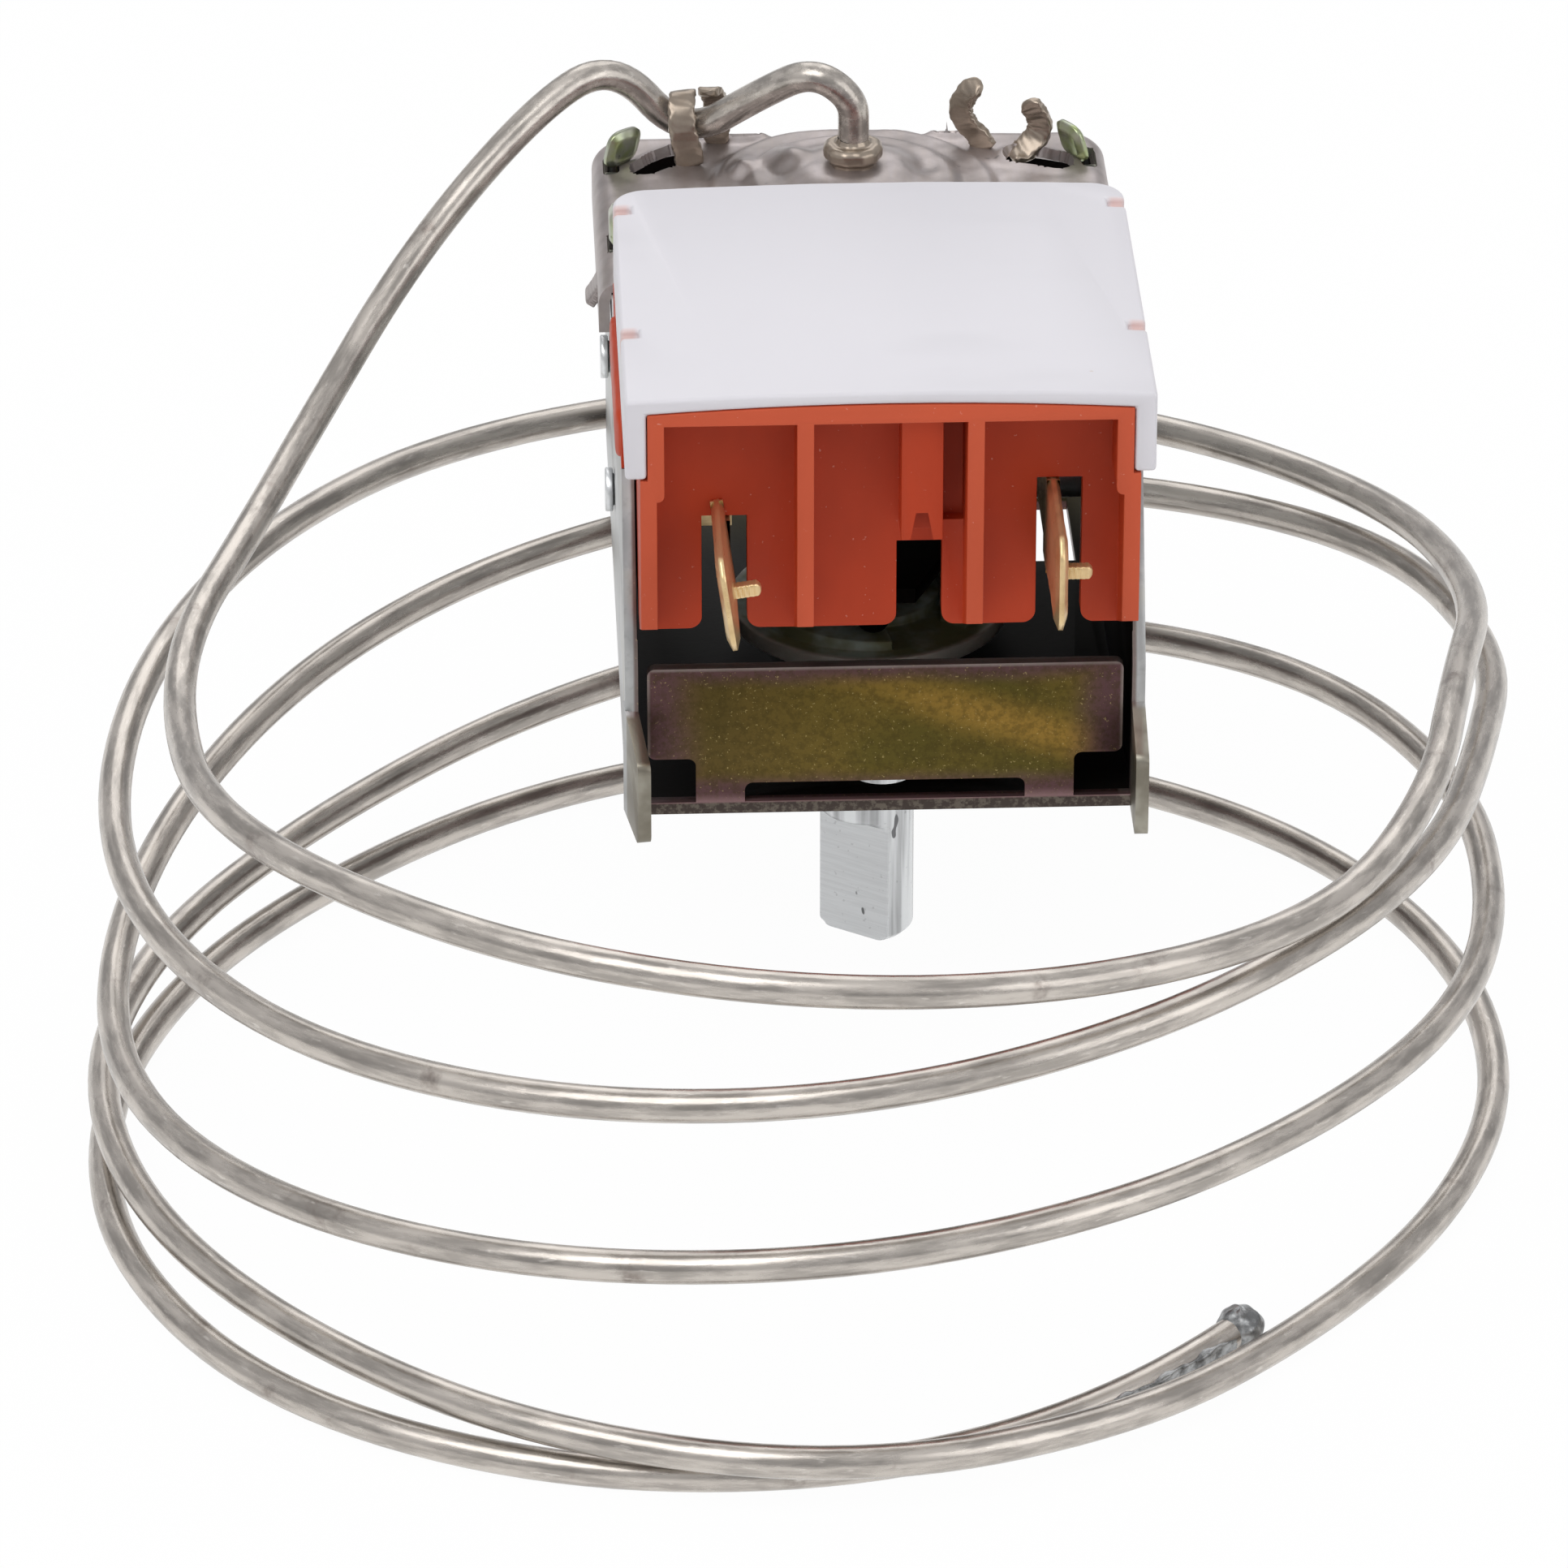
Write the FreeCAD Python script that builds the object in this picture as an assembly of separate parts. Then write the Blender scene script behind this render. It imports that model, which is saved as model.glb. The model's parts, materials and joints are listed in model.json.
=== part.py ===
import FreeCAD, Part
import math
import os

# Capillary thermostat: a folded steel bracket, a vapour element in a pressed cup, a range spring between
# two levers, a knob spindle with a helical cam, and a snap switch in a moulded terminal block.
# Millimetres. The origin is on the spindle axis in the outer face of the mounting plate. The spindle
# points down, +Z goes up into the body and -Y is the side with the terminals.

V = FreeCAD.Vector

# General
touch_gap = 0.1
running_gap = 0.05
free_gap = 0.3

# Bracket sheet
sheet_t = 0.8
bracket_inside_w = 30.2
plate_front = 22.0
plate_rear = 29.5
side_height = 21.2
bend_r = 0.9
panel_side_gap = 0.55
panel_top = 10.0
panel_leg_inset = 2.95
panel_leg_w = 3.0
panel_notch_top = 3.8
panel_slot_top = 2.1
panel_corner_r = 0.5
side_front_low = 9.8
side_front_slope = 4.2
side_front_run = 1.7
ear_reach = 4.2
ear_root_top = 7.2
ear_tip_top = 5.4
ear_round_r = 0.7
ear_toe_in_deg = 9.0
fixing_hole_d = 4.2
fixing_hole_span = 36.0
window_w = 4.0
window_len = 9.0
window_inset = 3.2
window_y = 14.6
tab_w = 2.6
tab_rise = 2.2
tab_twist_deg = 42.0
tab_rear_y = 26.2
tab_mid_y = 14.3

# Spindle and cam
spindle_d = 6.0
spindle_reach = 20.0
spindle_flat_start = 11.8
spindle_across_flat = 4.6
spindle_flat_normal_deg = 236.0
spindle_tip_chamfer = 0.45
spindle_neck_d = 4.4
spindle_journal_d = 6.4
spindle_journal_below = 0.6
cam_r = 8.8
cam_t = 1.0
cam_lift_off_plate = 1.8
cam_hub_d = 9.0
ramp_mid_r = 6.6
ramp_w = 2.0
ramp_base = 0.6
ramp_rise = 1.6
ramp_sweep_deg = 318.0
spindle_turn_deg = 300.0

# Pins and levers
pin_d = 2.0
pin_stand_out = 0.5
pin_head_d = 2.8
lever_t = 1.0
lever_pin_y = 15.8
lever_pin_drop = 1.8
lever_side_gap = 6.6
lever_front = 14.4
lever_nose_w = 6.0
lever_rear_y = 25.0
lever_below_side_top = 6.2
lever_ear_len = 9.0
lever_ear_drop = 3.4
follower_pin_y = 4.0
follower_pin_z = 9.5
follower_side_gap = 9.1
follower_web_z = 7.2
follower_rear_y = 14.6
follower_nose_half_w = 2.6
follower_nose_r = 1.1
follower_nose_lap = 1.5
follower_ear_len = 5.0
follower_ear_rise = 1.2

# Range spring and its screw
spring_y = 11.0
spring_r = 2.6
spring_wire_d = 0.8
spring_turns = 4.5
spring_points_a_turn = 12
nut_d = 3.7
nut_share = 8.0 / 17.0
range_screw_d = 2.0
range_screw_head_d = 3.6
range_screw_head_h = 1.3

# Element cup and diaphragm
cup_wall = 0.7
cup_front_y = 8.0
cup_skirt = 3.4
cup_corner = 2.2
cup_rear_gap = 1.0
dome_y = 21.8
dome_base_r = 8.2
dome_top_r = 2.6
dome_rise = 1.9
dome_shoulder_r = 5.0
dome_shoulder_share = 0.62
capsule_r = 7.2
capsule_h = 2.6
button_d = 5.0
ferrule_d = 3.7
ferrule_h = 1.5
ferrule_lip = 0.35
ferrule_step = 0.25
claw_w = 1.6
claw_t = 0.6
claw_clear = 0.55
closed_claws = ((-11.6, 5.75, 0.55, 1), (-9.8, 5.2, 1.2, -1))
closed_claw_front_deg = (190, 145, 100, 60, 25)
closed_claw_rear_deg = (-10, 20, 50, 75, 95)
open_claws = ((10.3, 6.1, 3.6, 0.5), (7.7, 6.8, 4.3, -0.5))
open_claw_turn_deg = 45.0
tab_round = 0.9
cup_slot_inset = 3.8
cup_slot_y = 26.3
cup_slot_len = 4.0
cup_slot_w = 1.3
cup_slot_turn_deg = 33.0
flare_w = 2.6
flare_drop = 2.2
flare_out = 0.9
flare_lap = 0.4
diaphragm_wall = 0.35
diaphragm_waves = 3

# Terminal block and cover
block_side_gap = 0.1
block_front = 27.0
block_rear = 2.6
block_below_side_top = 7.9
block_above_side_top = 8.3
block_crown = 0.5
block_wall = 1.2
block_step_drop = 4.3
block_neck = 0.45
recess_depth = 4.0
rib_t = 1.0
rib_share = 0.34
lip_t = 0.7
side_wall_t = 1.0
front_slope_rise = 2.0
slot_w = 2.75
slot_corner_r = 0.8
left_slot_offset = 0.05
right_slot_offset = 0.4
middle_slot_x = 1.95
left_slot_drop = 8.6
middle_slot_drop = 10.5
right_slot_drop = 6.4
tongue_x = 0.7
tongue_w = 2.5
tongue_drop = 9.1
pocket_depth = 0.9
fork_half_w = 0.7
fork_rise = 1.8
bay_shoulder_drop = 1.4
bridge_y = -7.0
bridge_t = 1.4
nose_window_h = 3.4
flange_t = 3.3
flange_front = 17.0
cover_t = 1.0
cover_rear = 3.4
cover_corner_r = 2.0
cover_crown = 0.35
cover_skirt = 4.2
snap_w = 1.1
snap_len = 1.0
snap_front_y = -17.5
snap_rear_y = 0.4

# Terminals and contacts
blade_h = 6.3
blade_t = 0.8
blade_reach = 9.0
blade_bevel = 1.0
left_neck_h = 3.6
right_neck_h = 6.0
terminal_tail_h = 3.6
terminal_lug_t = 0.6
terminal_lug_half_w = 1.1
right_blade_inset = 5.0
right_blade_drop = 9.6
left_blade_inset = 5.1
left_blade_drop = 10.6
left_blade_lean_deg = -8.0
blade_pin_len = 1.7
blade_pin_d = 0.8
blade_pin_drop = 0.9
contact_strip_t = 0.5
arm_pin_d = 1.0
arm_curl_r = 1.0
arm_pin_drop = 0.2
arm_window_len = 3.0
arm_window_w = 2.0
contact_strip_w = 4.0
contact_y = -12.0
contact_arm_pin_offset = 0.3
contact_arm_above_lever = 3.6
contact_arm_end_gap = 0.4
contact_end_margin = 0.1
contact_d = 3.0
contact_h = 0.7
contact_open_gap = 2.5
pusher_d = 3.0
pusher_tip_r = 0.6
pusher_cone_h = 0.9

# Capillary tube
tube_d = 2.0
bead_d = 2.7
bead_lap = 0.3
tip_x = 19.0
tip_y = -54.0
tip_lift = 0.3
arc_share = 0.45

# Derived places across the width
half_in = bracket_inside_w / 2.0
half_out = half_in + sheet_t
panel_w = bracket_inside_w - 2 * panel_side_gap
panel_leg_outer = panel_w / 2.0 - panel_leg_inset
panel_leg_inner = panel_leg_outer - panel_leg_w
window_x = half_in - window_inset
lever_w = bracket_inside_w - 2 * lever_side_gap
follower_w = bracket_inside_w - 2 * follower_side_gap
cup_half_w = half_out + touch_gap + cup_wall
cup_slot_x = cup_half_w - cup_slot_inset
block_half_w = half_in - block_side_gap
rib_x = rib_share * block_half_w
left_blade_x = left_blade_inset - block_half_w
right_blade_x = block_half_w - right_blade_inset
cover_half_w = half_out
contact_arm_pin_x = left_blade_x - contact_arm_pin_offset
contact_arm_end_x = right_blade_x - blade_t / 2 - contact_arm_end_gap
contact_x = contact_arm_end_x - contact_end_margin - contact_d / 2

# Derived heights and depths
spindle_r = spindle_d / 2.0
pin_r = pin_d / 2.0
cam_bottom = sheet_t + cam_lift_off_plate
cam_top = cam_bottom + cam_t
cup_under = side_height + touch_gap
cup_top = cup_under + cup_wall
cup_rear_y = plate_rear + cup_rear_gap + cup_wall
dome_top = cup_top + dome_rise
lever_web_z = side_height - lever_below_side_top
lever_pin_z = lever_web_z - lever_pin_drop
nut_h = nut_share * (lever_web_z - follower_web_z - lever_t)
block_floor = side_height - block_below_side_top
block_top = side_height + block_above_side_top
bay_top = block_top - lip_t
block_step_z = block_top - block_step_drop
recess_back = -block_front + recess_depth
inner_front = recess_back + block_wall
tongue_low = block_top - tongue_drop
left_blade_z = block_top - left_blade_drop
right_blade_z = block_top - right_blade_drop
cover_under = block_top
cover_top = cover_under + cover_t
contact_arm_z = lever_web_z + contact_arm_above_lever
arm_pin_z = contact_arm_z - arm_pin_drop
moving_contact_z = contact_arm_z + contact_strip_t + running_gap
fixed_strip_z = moving_contact_z + 2 * contact_h + contact_open_gap + running_gap
slots = (
    (left_blade_x + left_slot_offset, block_top - left_slot_drop),
    (middle_slot_x, block_top - middle_slot_drop),
    (right_blade_x + right_slot_offset, block_top - right_slot_drop),
)


def box(x0, x1, y0, y1, z0, z1):
    return Part.makeBox(x1 - x0, y1 - y0, z1 - z0, V(x0, y0, z0))


def cylinder(r, h, base, axis=V(0, 0, 1)):
    return Part.makeCylinder(r, h, base, axis)


def prism_yz(points, x0, x1):
    loop = [V(x0, y, z) for y, z in points]
    face = Part.Face(Part.makePolygon(loop + loop[:1]))
    return face.extrude(V(x1 - x0, 0, 0))


def prism_xz(points, y0, y1):
    loop = [V(x, y0, z) for x, z in points]
    face = Part.Face(Part.makePolygon(loop + loop[:1]))
    return face.extrude(V(0, y1 - y0, 0))


def prism_xy(points, z0, z1):
    loop = [V(x, y, z0) for x, y in points]
    face = Part.Face(Part.makePolygon(loop + loop[:1]))
    return face.extrude(V(0, 0, z1 - z0))


def revolve_z(points, centre):
    loop = [V(centre.x + r, centre.y, z) for r, z in points]
    face = Part.Face(Part.makePolygon(loop + loop[:1]))
    return face.revolve(centre, V(0, 0, 1), 360)


def mirror_x(shape):
    return shape.mirror(V(0, 0, 0), V(1, 0, 0))


def join(shapes):
    return shapes[0].fuse(shapes[1:]).removeSplitter()


def fillet_where(shape, radius, wanted):
    edges = [e for e in shape.Edges if wanted(e)]
    return shape.makeFillet(radius, edges)


def runs_along(edge, axis):
    if not isinstance(edge.Curve, Part.Line):
        return False
    a, b = [v.Point for v in edge.Vertexes]
    return abs((b - a).normalize().dot(axis)) > 0.999


def export(name, shape):
    shape.exportStep("parts/" + name + ".step")


def bent_strip(points, x0, x1, thickness):
    # A flat strip whose edge follows a smooth curve in the YZ plane, with square ends.
    front = []
    back = []
    for i, (y, z) in enumerate(points):
        before = points[max(i - 1, 0)]
        after = points[min(i + 1, len(points) - 1)]
        along = V(0, after[0] - before[0], after[1] - before[1]).normalize()
        across = V(0, -along.z, along.y) * (thickness / 2.0)
        front.append(V(x0, y, z) + across)
        back.append(V(x0, y, z) - across)
    sides = []
    for row in (front, back):
        curve = Part.BSplineCurve()
        curve.interpolate(row)
        sides.append(curve.toShape())
    ends = [Part.makeLine(front[0], back[0]), Part.makeLine(front[-1], back[-1])]
    face = Part.Face(Part.Wire(Part.__sortEdges__(sides + ends)))
    return face.extrude(V(x1 - x0, 0, 0))


def rounded_path(points):
    # Straight runs with a tangent arc at every inner point. Gives the wire, its length and the radii.
    edges = []
    start = points[0]
    length = 0.0
    radii = []
    for i in range(1, len(points) - 1):
        before, here, after = points[i - 1], points[i], points[i + 1]
        u = (before - here).normalize()
        v = (after - here).normalize()
        setback = arc_share * min((before - here).Length, (after - here).Length)
        a = here + u * setback
        b = here + v * setback
        half_turn = (math.pi - u.getAngle(v)) / 2.0
        radius = setback / math.tan(half_turn)
        radii.append(radius)
        middle = here + (u + v).normalize() * (radius / math.cos(half_turn) - radius)
        edges.append(Part.LineSegment(start, a).toShape())
        edges.append(Part.Arc(a, middle, b).toShape())
        length += (a - start).Length + radius * 2 * half_turn
        start = b
    edges.append(Part.LineSegment(start, points[-1]).toShape())
    length += (points[-1] - start).Length
    return Part.Wire(edges), length, radii


def swept_round(path, points, diameter):
    ring = Part.Wire(Part.makeCircle(diameter / 2, points[0], points[1] - points[0]))
    swept = path.makePipe(Part.Face(ring))
    return swept if swept.ShapeType == "Solid" else swept.Solids[0]


def side_outline():
    return [
        (plate_rear, 0),
        (plate_rear, side_height - cup_skirt),
        (plate_rear - cup_corner, side_height - cup_skirt),
        (plate_rear - cup_corner, side_height),
        (-flange_front, side_height),
        (-plate_front + side_front_run, side_front_low + side_front_slope),
        (-plate_front, side_front_low),
        (-plate_front, 0),
    ]


def ear_outline():
    return [
        (-plate_front + sheet_t, 0),
        (-plate_front + sheet_t, ear_root_top + 0.3),
        (-plate_front, ear_root_top),
        (-plate_front - ear_reach, ear_tip_top),
        (-plate_front - ear_reach, 0),
    ]


def ear(side):
    inner = side * half_in
    outer = side * half_out
    plate = prism_yz(ear_outline(), min(inner, outer), max(inner, outer))
    tip_y = -plate_front - ear_reach

    def at_tip(edge):
        y_here = edge.Vertexes[0].Point.y
        return runs_along(edge, V(1, 0, 0)) and abs(y_here - tip_y) < 0.01

    return fillet_where(plate, ear_round_r, at_tip)


def twisted_tab(side, y, twist):
    inner = min(side * half_in, side * half_out)
    stem_top = cup_top + touch_gap
    stem = box(inner, inner + sheet_t, y - tab_w / 2, y + tab_w / 2, side_height - 1.0, stem_top)
    head = box(inner, inner + sheet_t, y - tab_w / 2, y + tab_w / 2, stem_top, stem_top + tab_rise)
    head = fillet_where(head, tab_round, lambda e: runs_along(e, V(1, 0, 0))
                        and e.Vertexes[0].Point.z > stem_top + 0.1)
    head.rotate(V(inner + sheet_t / 2, y, 0), V(0, 0, 1), -side * twist)
    return [stem, head]


def make_bracket():
    plate = box(-half_out, half_out, -plate_front, plate_rear, 0, sheet_t)
    wall = prism_yz(side_outline(), half_in, half_out)
    channel = join([plate, wall, mirror_x(wall)])

    def outer_bend(edge):
        p = edge.Vertexes[0].Point
        long_one = runs_along(edge, V(0, 1, 0)) and edge.Length > plate_rear
        return long_one and abs(abs(p.x) - half_out) < 0.01 and abs(p.z) < 0.01

    channel = fillet_where(channel, bend_r, outer_bend)
    panel = prism_xz([
        (panel_leg_inner, 0), (panel_leg_outer, 0), (panel_leg_outer, panel_notch_top),
        (panel_w / 2, panel_notch_top), (panel_w / 2, panel_top), (-panel_w / 2, panel_top),
        (-panel_w / 2, panel_notch_top), (-panel_leg_outer, panel_notch_top), (-panel_leg_outer, 0),
        (-panel_leg_inner, 0), (-panel_leg_inner, panel_slot_top), (panel_leg_inner, panel_slot_top),
    ], -plate_front, -plate_front + sheet_t)
    panel = fillet_where(panel, panel_corner_r,
                         lambda e: runs_along(e, V(0, 1, 0)) and e.Vertexes[0].Point.z > sheet_t)
    right_ear = ear(1)
    left_ear = ear(-1)
    left_ear.rotate(V(-half_out, -plate_front, 0), V(0, 0, 1), ear_toe_in_deg)
    pieces = [channel, panel, right_ear, left_ear]
    for side in (-1, 1):
        pieces += twisted_tab(side, tab_rear_y, tab_twist_deg)
        pieces += twisted_tab(side, tab_mid_y, 0)
    body = join(pieces)
    deep = 2.0 * sheet_t
    cuts = [cylinder(spindle_journal_d / 2 + running_gap, deep, V(0, 0, -sheet_t / 2))]
    for y in (-fixing_hole_span / 2, fixing_hole_span / 2):
        cuts.append(cylinder(fixing_hole_d / 2, deep, V(0, y, -sheet_t / 2)))
    cuts.append(box(window_x - window_w / 2, window_x + window_w / 2, window_y - window_len / 2,
                    window_y + window_len / 2, -sheet_t / 2, deep))
    for y, z in ((lever_pin_y, lever_pin_z), (follower_pin_y, follower_pin_z)):
        cuts.append(cylinder(pin_r + running_gap, 2 * half_out + 2, V(-half_out - 1, y, z), V(1, 0, 0)))
    return body.cut(cuts)


def make_spindle():
    shaft = cylinder(spindle_r, spindle_reach + cam_bottom, V(0, 0, -spindle_reach))
    shaft = shaft.makeChamfer(spindle_tip_chamfer, [e for e in shaft.Edges
                                                    if abs(e.CenterOfMass.z + spindle_reach) < 0.01])
    flat_depth = spindle_across_flat - spindle_r
    cutter = box(flat_depth, spindle_d, -spindle_d, spindle_d, -spindle_reach - 1, -spindle_flat_start)
    cutter.rotate(V(0, 0, 0), V(0, 0, 1), spindle_flat_normal_deg)
    neck = cylinder(spindle_neck_d / 2, cam_t + 2 * ramp_base, V(0, 0, cam_bottom))
    journal = cylinder(spindle_journal_d / 2, cam_bottom + spindle_journal_below,
                       V(0, 0, -spindle_journal_below))
    return join([shaft.cut(cutter), neck, journal])


def make_cam():
    disc = cylinder(cam_r, cam_t, V(0, 0, cam_bottom))
    hub = cylinder(cam_hub_d / 2, ramp_base, V(0, 0, cam_top))
    # The ramp climbs clockwise, seen from above, as the spindle turns the other way under the nose.
    pitch = ramp_rise * 360.0 / spindle_turn_deg
    climb = pitch * ramp_sweep_deg / 360.0
    ramp_full = ramp_base + climb
    path = Part.makeHelix(pitch, climb, ramp_mid_r, 0, True)
    half_w = ramp_w / 2
    profile = Part.makePolygon([
        V(ramp_mid_r - half_w, 0, -ramp_full), V(ramp_mid_r + half_w, 0, -ramp_full),
        V(ramp_mid_r + half_w, 0, 0), V(ramp_mid_r - half_w, 0, 0), V(ramp_mid_r - half_w, 0, -ramp_full),
    ])
    ramp = Part.Wire(path).makePipeShell([profile], True, True)
    ramp.translate(V(0, 0, cam_top + ramp_base))
    lead_in = (ramp_sweep_deg - spindle_turn_deg) / 2.0
    ramp.rotate(V(0, 0, 0), V(0, 0, 1), 270 + lead_in)
    ramp = ramp.common(cylinder(cam_r, ramp_full * 3, V(0, 0, cam_bottom + cam_t / 2)))
    cam = join([disc, hub, ramp])
    return cam.cut(cylinder(spindle_neck_d / 2 + running_gap / 2, cam_t * 4, V(0, 0, cam_bottom - cam_t)))


def cross_pin(y, z):
    reach = half_out + pin_stand_out
    shank = cylinder(pin_r, 2 * reach, V(-reach, y, z), V(1, 0, 0))
    head = cylinder(pin_head_d / 2, pin_stand_out, V(-reach - touch_gap, y, z), V(1, 0, 0))
    return join([shank, head])


def make_follower():
    nose_y = -ramp_mid_r
    web = prism_xy([
        (-follower_w / 2, follower_rear_y), (follower_w / 2, follower_rear_y),
        (follower_w / 2, 0), (follower_nose_half_w, nose_y - follower_nose_lap),
        (-follower_nose_half_w, nose_y - follower_nose_lap),
        (-follower_w / 2, 0),
    ], follower_web_z, follower_web_z + lever_t)
    tip_z = cam_top + ramp_base + free_gap + follower_nose_r
    nose = cylinder(follower_nose_r, follower_web_z + lever_t / 2 - tip_z, V(0, nose_y, tip_z))
    tip = Part.makeSphere(follower_nose_r, V(0, nose_y, tip_z))
    pieces = [web, nose, tip]
    for side in (-1, 1):
        outer = side * follower_w / 2
        inner = outer - side * lever_t
        pieces.append(prism_yz([
            (follower_pin_y - follower_ear_len / 2, follower_web_z),
            (follower_pin_y + follower_ear_len / 2, follower_web_z),
            (follower_pin_y + follower_ear_len / 2 - 1, follower_pin_z + pin_r + follower_ear_rise),
            (follower_pin_y - follower_ear_len / 2 + 1, follower_pin_z + pin_r + follower_ear_rise),
        ], min(inner, outer), max(inner, outer)))
    body = join(pieces)
    bore = cylinder(pin_r + running_gap, follower_w + 2,
                    V(-follower_w / 2 - 1, follower_pin_y, follower_pin_z), V(1, 0, 0))
    screw_hole = cylinder(range_screw_d / 2 + running_gap, lever_t * 3,
                          V(0, spring_y, follower_web_z - lever_t))
    return body.cut([bore, screw_hole])


def make_lever():
    half = lever_w / 2
    shoulder = lever_pin_y - lever_ear_len / 2 - 1.0
    web = prism_xy([
        (-half, lever_rear_y), (half, lever_rear_y), (half, shoulder), (lever_nose_w / 2, shoulder - 7.0),
        (lever_nose_w / 2, -lever_front), (-lever_nose_w / 2, -lever_front),
        (-lever_nose_w / 2, shoulder - 7.0), (-half, shoulder),
    ], lever_web_z, lever_web_z + lever_t)
    pieces = [web]
    low = lever_web_z - lever_ear_drop
    for side in (-1, 1):
        outer = side * half
        inner = outer - side * lever_t
        pieces.append(prism_yz([
            (lever_pin_y - lever_ear_len / 2, lever_web_z), (lever_pin_y - 2.0, low),
            (lever_pin_y + 2.0, low), (lever_pin_y + lever_ear_len / 2, lever_web_z),
        ], min(inner, outer), max(inner, outer)))
    body = join(pieces)
    bore = cylinder(pin_r + running_gap, lever_w + 2, V(-half - 1, lever_pin_y, lever_pin_z), V(1, 0, 0))
    hook = cylinder(range_screw_d / 2 + running_gap, lever_t * 3, V(0, spring_y, lever_web_z - lever_t))
    return body.cut([bore, hook])


def make_spring():
    low = follower_web_z + lever_t + free_gap + spring_wire_d / 2
    high = lever_web_z - free_gap - spring_wire_d / 2
    step = 2 * math.pi / spring_points_a_turn
    steps = int(spring_turns * spring_points_a_turn)
    corner_r = spring_r / math.cos(step / 2)
    points = []
    for i in range(steps + 1):
        z = low + (high - low) * i / steps
        points.append(V(corner_r * math.cos(i * step), spring_y + corner_r * math.sin(i * step), z))
    path = rounded_path(points)[0]
    return swept_round(path, points, spring_wire_d)


def make_range_nut():
    base = follower_web_z + lever_t + touch_gap
    nut = cylinder(nut_d / 2, nut_h, V(0, spring_y, base))
    return nut.cut(cylinder(range_screw_d / 2 + running_gap, nut_h + 2, V(0, spring_y, base - 1)))


def make_range_screw():
    top = follower_web_z - touch_gap
    shank_top = follower_web_z + lever_t + nut_h
    shank = cylinder(range_screw_d / 2, shank_top - top, V(0, spring_y, top))
    head = cylinder(range_screw_head_d / 2, range_screw_head_h, V(0, spring_y, top - range_screw_head_h))
    slot = box(-2.5, 2.5, spring_y - 0.3, spring_y + 0.3, top - range_screw_head_h - 1,
               top - range_screw_head_h * 0.45)
    return join([shank, head]).cut(slot)


def cup_outline(grow):
    w = cup_half_w - grow
    front = cup_front_y
    rear = cup_rear_y - grow
    c = cup_corner
    return [(-w, front), (w, front), (w, rear - c), (w - c, rear), (-w + c, rear), (-w, rear - c)]


def claws():
    # Four lanced claws. On the left one starts before the tube and one behind it, and both close over it.
    # The two on the right stand open, bowed towards each other. Each path gives the sheet's middle as (y, z).
    z = cup_top - cup_wall * 0.4
    reach = tube_d / 2 + claw_clear + claw_t / 2
    shapes = []
    for x, y, rise, side in closed_claws:
        cy = dome_y + y
        cz = dome_top + rise
        turns = closed_claw_front_deg if side > 0 else closed_claw_rear_deg
        arc = [(cy + reach * math.cos(math.radians(a)), cz + reach * math.sin(math.radians(a))) for a in turns]
        shapes.append(bent_strip([(cy - side * reach, z)] + arc, x, x + claw_w, claw_t))
    for x, y, rise, bow in open_claws:
        cy = dome_y + y
        path = [(cy, z), (cy + bow, z + rise * 0.3), (cy + 1.2 * bow, z + rise * 0.6),
                (cy + 0.4 * bow, z + rise * 0.85), (cy - 0.4 * bow, z + rise)]
        strip = bent_strip(path, x, x + claw_w, claw_t)
        strip.rotate(V(x + claw_w / 2, cy, z), V(0, 0, 1), open_claw_turn_deg)
        shapes.append(strip)
    return shapes


def make_cup():
    low = cup_top - cup_skirt
    shell = prism_xy(cup_outline(0), low, cup_top)
    rim = fillet_where(shell, cup_wall, lambda e: abs(e.CenterOfMass.z - cup_top) < 0.01
                       and e.CenterOfMass.y > cup_front_y + 0.01)
    hollow = prism_xy([(x, y - (1 if y == cup_front_y else 0)) for x, y in cup_outline(cup_wall)],
                      low - 1, cup_under)
    shoulder = dome_rise * dome_shoulder_share
    dome = revolve_z([(0, cup_under), (dome_base_r, cup_under), (dome_base_r, cup_top),
                      (dome_shoulder_r, cup_top + shoulder), (dome_top_r, dome_top), (0, dome_top)],
                     V(0, dome_y, 0))
    cup = join([rim.cut(hollow), dome])
    under = revolve_z([(0, cup_under - 1), (dome_base_r - cup_wall, cup_under - 1),
                       (dome_base_r - cup_wall, cup_under), (dome_shoulder_r, cup_under + shoulder),
                       (dome_top_r, dome_top - cup_wall), (0, dome_top - cup_wall)], V(0, dome_y, 0))
    cuts = [under, cylinder(tube_d / 2 + touch_gap, 4, V(0, dome_y, dome_top - 2))]
    stem_w = tab_w / 2 + touch_gap
    for side in (-1, 1):
        for y in (tab_rear_y, tab_mid_y):
            x0 = min(side * half_in, side * half_out) - touch_gap
            cuts.append(box(x0, x0 + sheet_t + 2 * touch_gap, y - stem_w, y + stem_w, cup_under - 1,
                            cup_top + 1))
        slot = box(-cup_slot_len / 2, cup_slot_len / 2, -cup_slot_w / 2, cup_slot_w / 2, cup_under - 1,
                   cup_top + 1)
        slot.rotate(V(0, 0, 0), V(0, 0, 1), -side * cup_slot_turn_deg)
        slot.translate(V(side * cup_slot_x, cup_slot_y, 0))
        cuts.append(slot)
    cup = cup.cut(cuts)
    flare = prism_xz([(0, 0), (cup_wall, 0), (cup_wall + flare_out, -flare_drop), (flare_out, -flare_drop)],
                     cup_front_y, cup_front_y + flare_w)
    flare.translate(V(cup_half_w - cup_wall, 0, low + flare_lap))
    return join([cup] + claws() + [mirror_x(flare)])


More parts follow.
